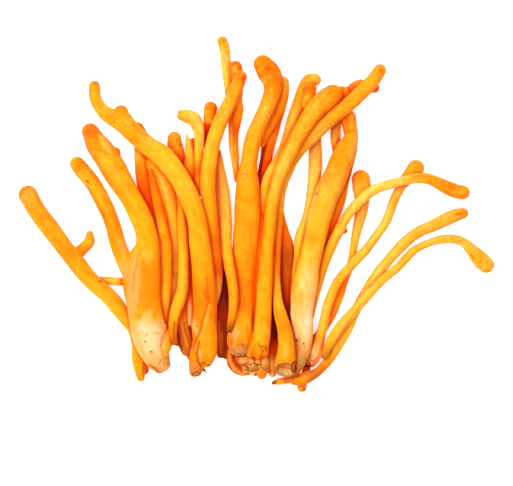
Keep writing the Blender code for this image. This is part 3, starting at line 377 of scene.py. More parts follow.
    "long_diagonal_club": ("orange_flesh", 0.6, """
379.8 70.5 6.1, 374 79 6.8, 366.8 87 7.2, 351.2 102.2 7.4, 334 115.4 7.7, 317.6 130.8 7.6, 303 146.6 6,
292.6 161 5.4, 288.4 170 5.4, 284.4 180 5, 281.5 190 4.8, 280.2 200 4.6, 278.6 224 4, 276.8 260 3.8,
276.8 280 3.8, 277.7 300 4.6, 279.5 311 5.9, 285 333 7.6, 286.4 351 9, 285.4 361 10.2, 285.2 374 9.2:
amber 0, yellow .04, amber .12, yellow .2, straw .28, amber .36, straw .43, straw .47, amber .53,
deep .66, yellow .78, orange .86, amber .93, orange .96, tan 1
| ember .75 380.4 71 2.4 2.6, deep .3 340 116 14 2 -40, rust .75 281.6 365.6 5 3.4 0 -.1,
cream .5 288 372.4 4.6 3, brown .6 278 368 1.4 4 20
| straw .5 2.4 .03: 285 344, 285.6 350, 285.4 356; maroon .9 .9 -.15: 295 361.5, 292.6 363, 291.6 367,
292.4 371, 294.4 372.6; maroon .8 .7 -.1: 294.6 364.6, 294.8 369, 293.2 371; orange .7 .9 -.05: 290 340,
292.6 350, 292 360; orange .5 1: 322 128, 308 142, 298 154"""),
    # The orange and red strokes down its left rim are painted shade.
    "front_leaning_club": ("yellow_flesh", 0.8, """
332.4 94.4 9.8, 326.2 99.6 10.4, 318.2 106.8 10, 310.4 116.8 9.2, 296.2 139 7.7, 291.4 149 7.5,
285.2 161 7.2, 277.8 181 6.6, 272.5 203 6.4, 270.6 216 6.3, 269.4 230 6.4, 267.6 246 6.4, 265.1 276 7.9,
263.6 306 8.6, 261.2 336 9, 260.2 347 8.2: orange 0, amber .03, yellow .1, yellow .2, straw .31,
amber .5;
250.4 353.6 4, 253.6 346 5, 257 336 6: orange 0, deep 1: -.3;
258 355.4 4, 259.6 348 4.4: deep 0, orange 1: -.2;
265 352.8 4, 264.4 346 4.4: deep 0, peach .5, orange 1: -.2
| deep .4 330 104 2.4 14 38, yellow .4 262 330 5 9
| ember .85 .9 -.2: 258 342, 260.4 348, 264 350.6, 262 355; ember .7 .7 -.12: 255 344, 252.6 351,
251 356; red .8 .9 -.2: 261 346, 266 346.6, 267 351; orange .55 1.6: 291 134, 283.4 152, 276 170,
270 188; red .6 1 -.05: 259 262, 256.8 285, 255.6 308, 253.4 330; straw .5 2: 327 92, 318 102, 309 116,
300 131"""),
    "right_curved_stem": ("yellow_flesh", 0.5, """
463 213.2 5.6, 456 215 6.6, 448 218.4 6.6, 432.3 226 5.7, 424.3 229.2 5.6, 416.3 233.5 5.7,
408.8 239 5.7, 401.8 245.5 5.8, 388.8 259.8 5.2, 377 275.4 5.6, 360.9 300 5, 353.6 316 4.8, 346 332 4.9,
331.2 356 5, 319.8 369.4 4.4, 312.4 375 4.7, 304.8 379.2 4.9, 298.2 381.3 4, 292.4 382.2 2.3: amber 0,
straw .06, straw .74, yellow .8, orange .84, clay .89, clay .92, orange .96, deep 1
| ember .6 459.4 213.8 4.6 2.2 -16 -.15, ember .4 322 368 3 5 40
| straw .6 1 .03: 448 212.4, 456 210.6, 461 210; rust .8 .7 -.1: 332 350, 327.6 354.6, 324.6 357.6;
orange .5 1 -.04: 398 243, 386 256, 374 270"""),
    "far_right_hooked_stem": ("orange_flesh", 0.6, """
486.6 265 7.9, 480.4 259.2 8.2, 467.8 245.8 5.4, 461 241 4.7, 453 239 4.5, 444 239.2 4.4, 435 241 4,
426.2 244 3.9, 418.3 247.8 4, 411 253.2 4.1, 397.8 267.5 4, 382.4 280 4.5, 367.8 294.8 4.9,
354.7 309.7 4.9, 341 325 5, 330 342 4.8, 323.6 357 3.4: straw 0, yellow .04, straw .12, straw .3,
yellow .42, straw .6, straw .84, yellow .92, clay 1
| ember .6 472 256 1.6 3 -36, ember .6 480 262 1.3 1.3, ember .6 487 262 1.2 1, ember .6 487 270 1.4 1,
straw .85 486.6 266.6 2.8 2.2 0 .04, ember .7 444 238.6 .9 .8, ember .7 457 243.4 .8 .8,
peach .6 410 250 4 1.4 -40
| deep .6 .8 -.05: 361 304, 352 316, 343 329, 335 341"""),
}

# Torn or cut feet: a place in the plan at the upper rim, the way out of the foot in degrees
# clockwise from the right, the lean of the cut face from upright, and how far it reaches
CUTS = {
    "long_diagonal_club": (285, 362, 94, 47, 20),
    "long_left_club": (197.4, 371, 78, 40, 8),
}

# How far a cut fades out in the plan, the rounding of its rim, and the roughness of its face
CUT_FADE = 3.0
CUT_RIM = 0.25 * MM
CUT_ROUGH = 0.06 * MM
CUT_WAVES = (0.31 * MM, 0.37 * MM)

# Tones of a cut face from its rim inwards: strength, and the depths between which it comes in
FACE_EDGE = (0.02 * MM, 0.12 * MM)
CUT_TONES = {
    "rust": (0.8, *FACE_EDGE),
    "tan": (0.85, 0.25 * MM, 0.9 * MM),
    "cream": (0.6, 1.6 * MM, 3.4 * MM),
}

# Relief as a share of the radius, then its waves: their length, the fewest and the most of them
# round the stem, and how many are summed. Single waves are shorter and longer by a range.
LUMPS = (0.030, 17 * MM, 0, 2, 9)
GROOVES = (0.013, 80 * MM, 3, 6, 6)
WRINKLES = (0.007, 3.5 * MM, 1, 6, 12)
WAVE_RANGE = (0.6, 1.7)

# Rings in a rounded end, and the fewest points round a stem and samples along it
CAP_RINGS = 8
LEAST_AROUND = 16
LEAST_SAMPLES = 12

# Long streaks and small blotches of tone, as waves given in the same way. They darken a tone and
# make it paler: the shares of both, the most that they come to, and the tone's multiple.
STREAKS = (38 * MM, 1, 6, 10)
BLOTCHES = (6 * MM, 0, 5, 16)
VARIATION = (
    (0.30, 0.16, 0.8, (1.0, 0.72, 0.40)),
    (-0.28, -0.18, 0.6, (1.0, 1.28, 1.9)),
)

# Shade painted into the hollows of the heap: the span its top is averaged over, the depth at which a
# tone begins to darken, the depth that this takes, and the tone's multiple
HOLLOW_SHADE = (
    (0.7 * MM, 0.35 * MM, 0.9 * MM, (0.84, 0.48, 0.30)),
    (2.0 * MM, 1.2 * MM, 2.4 * MM, (0.86, 0.46, 0.30)),
)

# Cells of the grid that holds the top of the heap, and the free margin round it
CELL = 0.35 * MM
MARGIN = 8.0 * MM

# Painted shade, which turns the sides of a stem redder: the way to the shaded one, which is to the
# right and towards the feet, the share of the other one, the tone's multiple, and where each of
# them begins and is full
SHADED_WAY = (0.85, -0.45)
OTHER_SIDE = 0.62
SIDE_SHADE_TONE = (1.0, 0.52, 0.16)
SHADED_SIDE = (0.22, 0.95)
LIT_SIDE = (0.40, 1.0)

# Where the upper side begins, the rims of marks and strokes in their own sizes, and how uneven
# these rims are
UPPER_SIDE = (-0.3, 0.2)
MARK_RIM = (0.55, 1.25)
STROKE_RIM = (0.35, 1.5)
RAGGED = 0.10
WAVER = 0.28

# Half span of the smoothing that rounds a laid stem's bends, up and down, how far ahead and
# behind its heading is taken, as a length and as the most of a stem, and a height over the heap
SETTLE_SPAN = 2.5 * MM
HEADING_REACH = 2.0 * MM
SHORT_HEADING_REACH = 0.2
ABOVE_ALL = 0.1

# Grain covers the upper part of a club, and dryness the last of its foot
GRAIN_SHARE = 0.34
DRY_REACH = 5.0 * MM

# How sharply the tones of stems that have grown together part, and the points located at a time
TONE_BLEND = 12.0
BATCH = 8000

# Roughness and depth of the grains
FLESH = {
    "orange_flesh": (0.42, 1.5),
    "yellow_flesh": (0.40, 1.2),
    "deep_orange_flesh": (0.42, 1.7),
    "dark_red_flesh": (0.46, 1.0),
    "cream_flesh": (0.50, 0.8),
}

# Sizes of the flesh's patterns per metre, and the greatest depth of its relief
STREAK_SCALE = (160.0, 1700.0, 1700.0)
MOTTLE_SCALE = 480.0
FINE_SCALE = 2400.0
GRAIN_SCALE = 1600.0
SKIN_DEPTH = 0.24 * MM


def linear(tone):
    """A tone in linear light: ((c + 0.055) / 1.055) to the power 2.4, and c / 12.92 near black."""
    colour = np.array(TONES[tone]) / 255
    return np.where(colour <= 0.04045, colour / 12.92, ((colour + 0.055) / 1.055) ** 2.4)


def smooth(value, low, high):
    """0 below low, 1 above high, and 3 t squared - 2 t cubed between them."""
    t = np.clip((value - low) / (high - low), 0.0, 1.0)
    return t * t * (3.0 - 2.0 * t)


def half_height(half_width):
    """Half the thickness of a stem: roundness w / (1 + (w / broad) squared)."""
    return ROUNDNESS * half_width / (1.0 + (half_width / BROAD_HALF_WIDTH) ** 2)


def rows(text):
    """The numbers of a text, one row for each of its items."""
    return [[float(word) for word in item.split()] for item in text.split(",")]


def on_table(x, y):
    """A plan point in metres from the origin, with y turned to run up."""
    return (x - PLAN_CENTRE[0]) * STEP, (PLAN_CENTRE[1] - y) * STEP


def on_plan(points):
    """The plan's x and y at points given in metres."""
    return points[:, 0] / STEP + PLAN_CENTRE[0], PLAN_CENTRE[1] - points[:, 1] / STEP


def between(s, known, values):
    """Rows of values that are known at some distances, read in straight lines between them."""
    return np.column_stack([np.interp(s, known, column) for column in values.T])


def unit(headings):
    """Headings divided by their length."""
    return headings / np.linalg.norm(headings, axis=1)[:, None]


def smooth_line(points):
    """Curve through given points: a cubic on each stretch, with the slope at each point
    taken from its two neighbours. Returns x, y and half width in metres, closely spaced."""
    drawn = np.array(points)
    drawn = np.vstack([2 * drawn[0] - drawn[1], drawn, 2 * drawn[-1] - drawn[-2]])
    t = np.linspace(0.0, 1.0, CURVE_STEPS, endpoint=False)[:, None]
    stretches = []
    for before, start, end, after in zip(drawn[:-3], drawn[1:-2], drawn[2:-1], drawn[3:]):
        slope_in = 0.5 * (end - before)
        slope_out = 0.5 * (after - start)
        stretches.append((2 * t ** 3 - 3 * t ** 2 + 1) * start + (t ** 3 - 2 * t ** 2 + t) * slope_in
                         + (3 * t ** 2 - 2 * t ** 3) * end + (t ** 3 - t ** 2) * slope_out)
    x, y, half_width = np.vstack(stretches + [drawn[-2:-1]]).T
    return np.column_stack([*on_table(x, y), half_width * STEP])


def ripple(s, v, dice, wave, fewest, most, count):
    """Uneven relief, about -1 to 1: a sum of cosines of m v + 2 pi s / length + phase, where m is
    a whole number of turns round the stem and length a random one near the wave."""
    total = np.zeros(np.broadcast(s, v).shape)
    for _ in range(count):
        around = dice.integers(fewest, most + 1)
        length = wave * dice.uniform(*WAVE_RANGE)
        total += np.cos(around * v + math.tau * s / length + dice.uniform(0, math.tau))
    return total / math.sqrt(count)


def plumb(tree, x, y, side):
    """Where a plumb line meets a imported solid, from above for side 1 and from below for -1."""
    return tree.ray_cast(Vector((x, y, side * ABOVE_ALL)), Vector((0, 0, -side)))[0]


def middle_heights(tree, x, y):
    """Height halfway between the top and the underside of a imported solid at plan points."""
    middles = np.full(len(x), np.nan)
    for k, place in enumerate(zip(x, y)):
        top = plumb(tree, *place, 1)
        under = plumb(tree, *place, -1)
        if top and under:
            middles[k] = (top.z + under.z) / 2
    known = np.isfinite(middles)
    return np.interp(np.arange(len(x)), np.flatnonzero(known), middles[known])


class Stem:
    """One line of a piece, sampled from its tip to its foot."""

    def __init__(self, tree, text):
        points, tones, lift = (text.split(":") + ["0"])[:3]
        line = smooth_line(rows(points))
        along = np.append(0.0, np.cumsum(np.hypot(*np.diff(line[:, :2], axis=0).T)))
        self.length = along[-1]
        count = max(LEAST_SAMPLES, int(self.length / SAMPLE) + 2)
        self.s = np.linspace(0.0, self.length, count)
        x, y, self.width = between(self.s, along, line).T
        span = int(SETTLE_SPAN / self.s[1])
        blur = np.hanning(2 * span + 3)
        z = np.pad(middle_heights(tree, x, y), span + 1, mode="edge")
        z = np.convolve(z, blur / blur.sum(), mode="valid") + float(lift) * MM
        self.middle = np.column_stack([x, y, z])
        reach = min(HEADING_REACH, SHORT_HEADING_REACH * self.length)
        self.heading = unit(between(self.s + reach, self.s, self.middle[:, :2])
                            - between(self.s - reach, self.s, self.middle[:, :2]))
        stops = [stop.split() for stop in tones.split(",")]
        places = [float(place) for _, place in stops]
        colours = np.array([linear(tone) for tone, _ in stops])
        self.tone = between(self.s / self.length, places, colours)

    def skin(self, dice):
        """The stem's closed skin. A point is middle(s) + sideways(s) w r cos v + up h r sin v,
        with w and h the half width and half height at s and r the relief; both ends close in
        quarter circles, sin and cos of an angle, to a pole. Returns points and faces."""
        angle = np.linspace(0.0, math.pi / 2, CAP_RINGS + 1)
        body = np.linspace(0.0, self.length, int(self.length / PITCH) + 2)
        s = np.concatenate([-TIP_BULGE * self.width[0] * np.cos(angle[:-1]), body,
                            self.length + FOOT_BULGE * self.width[-1] * np.cos(angle[-2::-1])])
        swell = np.concatenate([np.sin(angle[:-1]), np.ones(len(body)), np.sin(angle[-2::-1])])
        inside = np.clip(s, 0.0, self.length)
        around = max(LEAST_AROUND, int(math.tau * self.width.max() / PITCH))
        v = np.linspace(0.0, math.tau, around, endpoint=False)
        relief = 1.0
        for share, *waves in (LUMPS, GROOVES, WRINKLES):
            relief = relief + share * ripple(s[:, None], v, dice, *waves)
        width = np.interp(inside, self.s, self.width)
        heading = unit(between(inside, self.s, self.heading))
        out = (swell * width)[:, None] * relief * np.cos(v)
        up = (swell * half_height(width))[:, None] * relief * np.sin(v)
        centre = between(inside, self.s, self.middle)
        centre[:, :2] += heading * (s - inside)[:, None]
        points = np.stack([centre[:, 0, None] - heading[:, 1, None] * out,
                           centre[:, 1, None] + heading[:, 0, None] * out,
                           centre[:, 2, None] + up], axis=-1)
        points = np.vstack([points[1:-1].reshape(-1, 3), points[0, :1], points[-1, :1]])
        here = np.arange(len(points) - 2).reshape(-1, around)
        beside = np.roll(here, -1, axis=1)
        quads = np.stack([here[:-1], beside[:-1], beside[1:], here[1:]], axis=-1).reshape(-1, 4)
        tip_pole = np.full(around, len(points) - 2)
        tip_fan = np.column_stack([tip_pole, beside[0], here[0]])
        foot_fan = np.column_stack([tip_pole + 1, here[-1], beside[-1]])
        return points, quads, np.vstack([tip_fan, foot_fan])


def in_scene(name, content):
    """A new object in the scene, at the origin."""
    thing = bpy.data.objects.new(name, content)
    bpy.context.collection.objects.link(thing)
    return thing


def joined_mesh(name, skins):
    """One mesh of several closed skins."""
    points, faces, first = [], [], 0
    for skin_points, quads, triangles in skins:
        points.append(skin_points)
        faces.extend((quads + first).tolist() + (triangles + first).tolist())
        first += len(skin_points)
    mesh = bpy.data.meshes.new(name)
    mesh.from_pydata(np.vstack(points).tolist(), [], faces)
    return mesh


def fused(mesh):
    """Grows skins that meet into one: a voxel remesh, smoothed so that their joints are soft."""
    helper = in_scene("helper", mesh)
    remesh = helper.modifiers.new("one_skin", "REMESH")
    remesh.mode = "VOXEL"
    remesh.voxel_size = FUSED_CELL
    soften = helper.modifiers.new("soft_joints", "SMOOTH")
    soften.factor = 0.5
    soften.iterations = 8
    graph = bpy.context.evaluated_depsgraph_get()
    grown_mesh = bpy.data.meshes.new_from_object(helper.evaluated_get(graph))
    bpy.data.objects.remove(helper)
    bpy.data.meshes.remove(mesh)
    return grown_mesh


def points_and_normals(mesh):
    """A mesh's points and its outward directions there, as rows of three numbers."""
    tables = []
    for source, field in ((mesh.vertices, "co"), (mesh.vertex_normals, "vector")):
        values = np.empty(len(source) * 3)
        source.foreach_get(field, values)
        tables.append(values.reshape(-1, 3))
    return tables


def located(points, stems):
    """Where each skin point lies on its piece. For every stem: the nearest sample of its middle
    line in plan, the distance s along it and t across it, and the share
    sqrt((t / w)^2 + (z / h)^2 + (overshoot / w)^2) of its section. Tones blend between stems by
    exp(-12 share). The rest is taken from the stem with the least share: s, t and z, the angle v
    round the stem, the grain and the dryness."""
    shares, values = [], []
    for stem in stems:
        nearest = np.concatenate([
            ((batch[:, None, :2] - stem.middle[None, :, :2]) ** 2).sum(axis=2).argmin(axis=1)
            for batch in np.array_split(points, len(points) // BATCH + 1)])
        away = points - stem.middle[nearest]
        heading = stem.heading[nearest]
        width = stem.width[nearest]
        s = stem.s[nearest] + (away[:, :2] * heading).sum(axis=1)
        across = away[:, 1] * heading[:, 0] - away[:, 0] * heading[:, 1]
        out = across / width
        up = away[:, 2] / half_height(width)
        overshoot = np.maximum(np.maximum(-s, s - stem.length), 0.0)
        grain = 1.0 - smooth(s, 0.5 * GRAIN_SHARE * stem.length, GRAIN_SHARE * stem.length)
        dry = smooth(s, stem.length - DRY_REACH, stem.length)
        shares.append(np.sqrt(out ** 2 + up ** 2 + (overshoot / width) ** 2))
        values.append(np.column_stack([s, across, away[:, 2], np.arctan2(up, out), grain, dry,
                                       stem.tone[nearest]]))
    shares = np.array(shares)
    values = np.array(values)
    found = values[shares.argmin(axis=0), np.arange(len(points))]
    weight = np.exp(-TONE_BLEND * (shares - shares.min(axis=0)))
    weight /= weight.sum(axis=0)
    tone = (values[:, :, 6:] * weight[:, :, None]).sum(axis=0)
    return found[:, :3], *found[:, 3:6].T, tone


def mark_masks(points, text):
    """Each mark's mask over the skin: in its own turned axes the point lies at
    q = sqrt((a / half size a)^2 + (b / half size b)^2), and the mask falls from 1 to 0 around
    q = 1, with a slightly ragged edge."""
    plan_x, plan_y = on_plan(points)
    ragged = RAGGED * (np.sin(1.9 * plan_x + 0.7 * plan_y) + np.sin(2.3 * plan_y - plan_x))
    for item in text.split(","):
        tone, *numbers = item.split()
        strength, x, y, along, beside, turn, lift = [*map(float, numbers), 0.0, 0.0][:7]
        c, s = math.cos(math.radians(turn)), math.sin(math.radians(turn))
        a = (plan_x - x) * c + (plan_y - y) * s
        b = (plan_y - y) * c - (plan_x - x) * s
        q = np.hypot(a / along, b / beside) + ragged
        yield 1.0 - smooth(q, *MARK_RIM), tone, strength, lift


def stroke_masks(points, text):
    """Each stroke's mask over the skin: the plan distance d to a line of straight stretches, and
    a mask that falls from 1 to 0 around d = half width, wavering a little along it."""
    x, y = on_plan(points)
    waver = 1.0 + WAVER * np.sin(1.3 * x + 0.9 * y) * np.sin(0.8 * y - 0.5 * x + 1.0)
    for item in text.split(";"):
        look, line = item.split(":")
        tone, *numbers = look.split()
        strength, half_width, lift = [*map(float, numbers), 0.0][:3]
        line = rows(line)
        away = np.full(len(x), np.inf)
        for (x0, y0), (x1, y1) in zip(line, line[1:]):
            t = ((x - x0) * (x1 - x0) + (y - y0) * (y1 - y0)) / ((x1 - x0) ** 2 + (y1 - y0) ** 2)
            t = np.clip(t, 0.0, 1.0)
            away = np.minimum(away, np.hypot(x - x0 - t * (x1 - x0), y - y0 - t * (y1 - y0)))
        yield 1.0 - smooth(away / half_width * waver, *STROKE_RIM), tone, strength, lift


def all_masks(points, drawn):
    """Masks of a piece's marks and strokes, with their tone, strength and lift."""
    for masks, text in zip((mark_masks, stroke_masks), drawn):
        if text.strip():
            yield from masks(points, text)


def cut_foot(name, points, tree):
    """Cuts a foot off with a leaning plane. What lies beyond it by d is moved back along its
    normal by (d + sqrt(d squared + r squared)) / 2, so the rim is rounded, but for a small
    unevenness of the face. Returns the new points and how deep in the face each of them lies."""
    if name not in CUTS:
        return points, np.zeros(len(points))
    x, y, way, lean, reach = CUTS[name]
    at = np.array(on_table(x, y))
    start = np.array([*at, plumb(tree, *at, 1).z])
    out, up = math.cos(math.radians(lean)), math.sin(math.radians(lean))
    turn = math.radians(way)
    normal = np.array([math.cos(turn) * out, -math.sin(turn) * out, up])
    beyond = (points - start) @ normal
    from_rim = np.linalg.norm(points[:, :2] - at, axis=1) / STEP
    near = 1.0 - smooth(from_rim, reach, reach + CUT_FADE)
    uneven = np.sin(points[:, 0] / CUT_WAVES[0]) * np.sin(points[:, 1] / CUT_WAVES[1] + 1.0)
    back = (beyond + np.sqrt(beyond ** 2 + CUT_RIM ** 2)) / 2 - CUT_ROUGH * uneven
    back = near * np.where(beyond > -2 * CUT_RIM, np.maximum(back, 0.0), 0.0)
    return points - back[:, None] * normal, near * np.maximum(beyond, 0.0)


class Heap:
    """The top of all skins over a grid of the plan, averaged round every place, from which shade is painted
    into the hollows.
    """

    def __init__(self, clouds):
        points = np.vstack(clouds)
        self.low = points[:, :2].min(axis=0) - MARGIN
        size = ((points[:, :2].max(axis=0) + MARGIN - self.low) / CELL).astype(int) + 1
        top = np.zeros(size)
        column, row = ((points[:, :2] - self.low) / CELL).astype(int).T
        np.maximum.at(top, (column, row), points[:, 2])
        waves = np.fft.fftfreq(size[0], CELL)[:, None] ** 2 + np.fft.fftfreq(size[1], CELL) ** 2
        self.averages = [
            np.fft.ifft2(np.fft.fft2(top) * np.exp(-2 * (math.pi * span) ** 2 * waves)).real
            for span, *_ in HOLLOW_SHADE]

    def above(self, points, average):
        """How far the averaged top lies above each point, read between the four cells round it."""
        place = (points[:, :2] - self.low) / CELL - 0.5
        cell = place.astype(int)
        (u, v), (i, j) = (place - cell).T, cell.T
        level = (average[i, j] * (1 - u) * (1 - v) + average[i + 1, j] * u * (1 - v)
                 + average[i, j + 1] * (1 - u) * v + average[i + 1, j + 1] * u * v)
        return level - points[:, 2]


def shaded(tone, amount, multiple):
    """Tone moved towards its own multiple: tone (1 - amount) + tone multiple amount."""
    return tone * (1.0 - amount[:, None] * (1.0 - np.array(multiple)))


def towards(tone, other, amount):
    """Tone mixed with a named one by an amount that varies over the skin."""
    return tone + (linear(other) - tone) * amount[:, None]


def paint(mesh, heap, side_shade, stems, cut, dice, drawn):
    """Writes the skin's tone and its helper values as attributes. The tone follows the stem's
    stops, then streaks and blotches, painted shade on its sides and in the hollows of the heap, its
    cut, and marks and strokes, some of which are painted highlights and painted shade."""
    points, normals = points_and_normals(mesh)
    straight, v, grain, dry, tone = located(points, stems)
    streaks = ripple(straight[:, 0], v, dice, *STREAKS)
    blotches = ripple(straight[:, 0], v, dice, *BLOTCHES)
    for streak_share, blotch_share, most, multiple in VARIATION:
        amount = np.clip(streak_share * streaks + blotch_share * blotches, 0.0, most)
        tone = shaded(tone, amount, multiple)
    # Painted shade on the side of the skin that faces away from the light, and a little on the rim of the
    # other side
    way = SHADED_WAY[0] * normals[:, 0] + SHADED_WAY[1] * normals[:, 1]
    sides = smooth(way, *SHADED_SIDE) + OTHER_SIDE * smooth(-way, *LIT_SIDE)
    tone = shaded(tone, side_shade * sides, SIDE_SHADE_TONE)
    # Painted shade, deeper the further a point lies below the averaged top of the heap
    for average, (_, start, depth, multiple) in zip(heap.averages, HOLLOW_SHADE):
        hollow = np.maximum(heap.above(points, average) - start, 0.0)
        tone = shaded(tone, 1.0 - np.exp(-hollow / depth), multiple)
    for other, (strength, low, high) in CUT_TONES.items():
        tone = towards(tone, other, smooth(cut, low, high) * strength)
    upper = smooth(normals[:, 2], *UPPER_SIDE)
    for mask, other, strength, _ in all_masks(points, drawn):
        tone = towards(tone, other, mask * strength * upper)
    dry = np.maximum(dry, smooth(cut, *FACE_EDGE))
    values = {"tone": ("FLOAT_COLOR", "color", np.column_stack([tone, np.ones(len(tone))])),
              "straight": ("FLOAT_VECTOR", "vector", straight),
              "grain": ("FLOAT", "value", grain),
              "dry": ("FLOAT", "value", dry)}
    for key, (kind, field, numbers) in values.items():
        mesh.attributes.new(key, kind, "POINT").data.foreach_set(field, numbers.ravel())


def grown(name, text):
    """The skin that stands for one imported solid: its mesh, and its stems, cut depth, random dice,
    marks and strokes."""
    lines, *drawn = (text.split("|") + ["", ""])[:3]
    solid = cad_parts[name].data
    tree = BVHTree.FromPolygons([vertex.co for vertex in solid.vertices],
                                [polygon.vertices[:] for polygon in solid.polygons])
    dice = np.random.default_rng(sum(name.encode()))
    stems = [Stem(tree, line) for line in lines.split(";")]
    mesh = joined_mesh(name + "_skin", [stem.skin(dice) for stem in stems])
    if len(stems) > 1:
        mesh = fused(mesh)
    points, normals = points_and_normals(mesh)
    upper = smooth(normals[:, 2], *UPPER_SIDE)
    for mask, _, _, lift in all_masks(points, drawn):
        points = points + normals * (mask * upper * lift * MM)[:, None]
    points, cut = cut_foot(name, points, tree)
    points[:, 2] = np.maximum(points[:, 2], 0.0)
    mesh.vertices.foreach_set("co", points.ravel())
    mesh.update()
    return mesh, (stems, cut, dice, drawn)


def make_pieces(materials):
    """All skins first, then their tones, which depend on the whole heap."""
    skins = {name: grown(name, text) for name, (_, _, text) in PIECES.items()}
    heap = Heap([points_and_normals(mesh)[0] for mesh, _ in skins.values()])
    for name, (slot, side_shade, _) in PIECES.items():
        mesh, rest = skins[name]
        paint(mesh, heap, side_shade, *rest)
        mesh.shade_smooth()
        piece = in_scene(name + "_skin", mesh)
        mesh.materials.append(materials[slot])
        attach(piece, "root")
        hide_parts(name)


class Wire:
    """A socket of a material's node tree. Arithmetic on it adds Math nodes."""

    def __init__(self, tree, socket=None):
        self.tree = tree
        self.socket = socket

    def fill(self, node, sockets):
        """Gives a node's sockets their values or links."""
        for key, value in sockets.items():
            if isinstance(value, Wire):
                self.tree.links.new(value.socket, node.inputs[key])
            else:
                node.inputs[key].default_value = value

    def node(self, kind, settings, sockets, output=0):
        """Adds a node of a type: its settings first, then its sockets' values or links."""
        added = self.tree.nodes.new(kind)
        for key, value in settings.items():
            setattr(added, key, value)
        self.fill(added, sockets)
        return Wire(self.tree, added.outputs[output])

    def math(self, operation, first, second):
        """Two numbers put together."""
        return self.node("ShaderNodeMath", {"operation": operation}, {0: first, 1: second})

    def __add__(self, other):
        return self.math("ADD", self, other)

    def __sub__(self, other):
        return self.math("SUBTRACT", self, other)

    def __rsub__(self, other):
        return self.math("SUBTRACT", other, self)

    def __mul__(self, other):
        return self.math("MULTIPLY", self, other)

    __radd__ = __add__
    __rmul__ = __mul__

    def step(self, low, high):
        """Smooth step of this value from low to high."""
        return self.node("ShaderNodeMapRange", {"interpolation_type": "SMOOTHSTEP"},
                         {"Value": self, "From Min": low, "From Max": high})

    def mix(self, blend, amount, first, second):
        """Two colours mixed by an amount."""
        return self.node("ShaderNodeMix", {"data_type": "RGBA", "blend_type": blend},
                         {0: amount, 6: first, 7: second}, 2)

    def noise(self, place, scale, detail):
        """Cloudy noise, about 0.5 with soft rises and falls."""
        return self.node("ShaderNodeTexNoise", {},
                         {"Vector": place, "Scale": scale, "Detail": detail, "Roughness": 0.55})

    def attribute(self, name, output):
        """A value that comes with the skin."""
        return self.node("ShaderNodeAttribute", {"attribute_name": name}, {}, output)


def new_material(name):
    """A new material, its shader, and a wire that adds nodes to its tree."""
    material = bpy.data.materials.new(name)
    material.use_nodes = True
    tree = material.node_tree
    return material, tree.nodes["Principled BSDF"], Wire(tree)


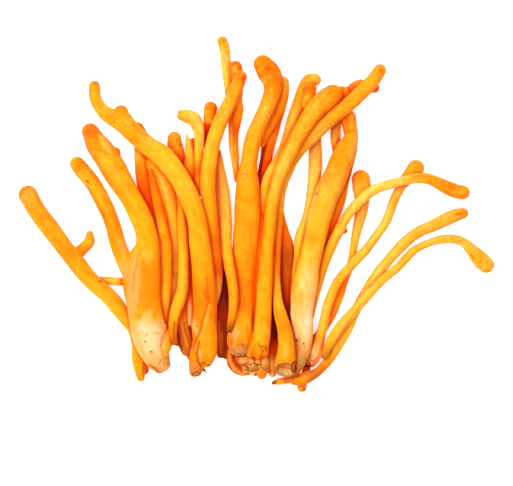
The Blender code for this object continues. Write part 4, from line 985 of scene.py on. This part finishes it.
def flesh(name, roughness, grain_depth):
    """Satin fungus flesh. Its tone comes with the skin; fine streaks run along the stem, grains
    cover the upper part of a club, and the foot is dry and dull."""
    material, shader, wire = new_material(name)
    tone = wire.attribute("tone", "Color")
    grain = wire.attribute("grain", "Fac")
    dry = wire.attribute("dry", "Fac")
    place = wire.node("ShaderNodeTexCoord", {}, {}, "Object")
    lengthwise = wire.node("ShaderNodeVectorMath", {"operation": "MULTIPLY"},
                           {0: wire.attribute("straight", "Vector"), 1: STREAK_SCALE})
    streaks = wire.noise(lengthwise, 1.0, 4.0)
    mottle = wire.noise(place, MOTTLE_SCALE, 5.0)
    fine = wire.noise(place, FINE_SCALE, 4.0)
    cells = wire.node("ShaderNodeTexVoronoi", {}, {"Vector": place, "Scale": GRAIN_SCALE},
                      "Distance")
    deeper = wire.mix("MULTIPLY", 1.0, tone, (1.0, 0.60, 0.30, 1.0))
    paler = wire.mix("MULTIPLY", 1.0, tone, (1.0, 1.34, 3.00, 1.0))
    rust = (*linear("rust").tolist(), 1.0)
    # A pattern, the values between which it comes in, how strongly, and its colour
    layers = ((streaks, 0.48, 0.70, 0.50, deeper),
              (mottle, 0.52, 0.72, 0.46, paler),
              (1.0 - mottle, 0.54, 0.74, 0.50, deeper),
              (fine, 0.54, 0.72, 0.40, deeper),
              (1.0 - fine, 0.56, 0.74, 0.34, paler),
              (cells, 0.34, 0.62, grain * 0.60, deeper),
              (1.0 - cells, 0.80, 0.94, grain * 0.40, paler),
              (fine, 0.48, 0.64, dry * 0.50, rust))
    colour = tone
    for pattern, low, high, amount, other in layers:
        colour = wire.mix("MIX", pattern.step(low, high) * amount, colour, other)
    height = (streaks * 0.6 + mottle * 0.7 + fine * 0.35 + dry * fine * 0.9
              + grain * (1.0 - cells) * grain_depth)
    relief = wire.node("ShaderNodeBump", {}, {"Strength": 0.50, "Distance": SKIN_DEPTH,
                                              "Height": height})
    wire.fill(shader, {"Base Color": colour,
                       "Roughness": roughness + mottle * 0.12 + dry * 0.15,
                       "Normal": relief,
                       "Subsurface Weight": 0.18,
                       "Subsurface Radius": (1.0, 0.40, 0.05),
                       "Subsurface Scale": 1.0 * MM,
                       "Specular IOR Level": 0.16,
                       "Specular Tint": (1.0, 0.72, 0.25, 1.0)})
    return material


def table(size, scale):
    """Pale matt table top: a flat square sheet at height 0."""
    half = size / 2
    mesh = bpy.data.meshes.new("table")
    mesh.from_pydata([(-half, -half, 0), (half, -half, 0), (half, half, 0), (-half, half, 0)], [],
                     [(0, 1, 2, 3)])
    material, shader, wire = new_material("table_paint")
    place = wire.node("ShaderNodeTexCoord", {}, {}, "Object")
    shade = wire.mix("MIX", wire.noise(place, scale, 2.0), (0.97, 0.97, 0.97, 1.0),
                     (0.94, 0.94, 0.94, 1.0))
    wire.fill(shader, {"Base Color": shade,
                       "Roughness": 0.9,
                       "Specular IOR Level": 0.1,
                       "Emission Color": (1.0, 1.0, 1.0, 1.0),
                       "Emission Strength": 0.60})
    mesh.materials.append(material)
    in_scene("table", mesh)


def soft_light(name, place, size, power):
    """Square area light that faces the bunch."""
    lamp = bpy.data.lights.new(name, "AREA")
    lamp.shape = "SQUARE"
    lamp.size = size
    lamp.energy = power
    light = in_scene(name, lamp)
    light.location = place
    light.rotation_euler = (-Vector(place)).to_track_quat("-Z", "Y").to_euler()


def look_down(view_centre, height, lens):
    """Camera straight above the middle of the photograph, with the tips at the top."""
    camera = in_scene("camera", bpy.data.cameras.new("camera"))
    camera.data.sensor_width = 36.0
    camera.data.lens = lens
    camera.data.clip_start = 0.01
    camera.location = (*on_table(*view_centre), height)
    bpy.context.scene.camera = camera


scene = bpy.context.scene
scene.view_settings.view_transform = "Standard"
world = bpy.data.worlds.new("studio")
world.use_nodes = True
Wire(world.node_tree).fill(world.node_tree.nodes["Background"],
                           {"Color": (1.0, 1.0, 1.0, 1.0), "Strength": 0.50})
scene.world = world
table(size=3.0, scale=6.0)
soft_light("key", place=(-0.40, 0.30, 0.70), size=0.50, power=4.9)
soft_light("overhead", place=(0.05, -0.05, 1.1), size=0.8, power=4.0)
look_down(view_centre=(256.5, 243.0), height=1.6, lens=373.4)
make_pieces({name: flesh(name, *finish) for name, finish in FLESH.items()})
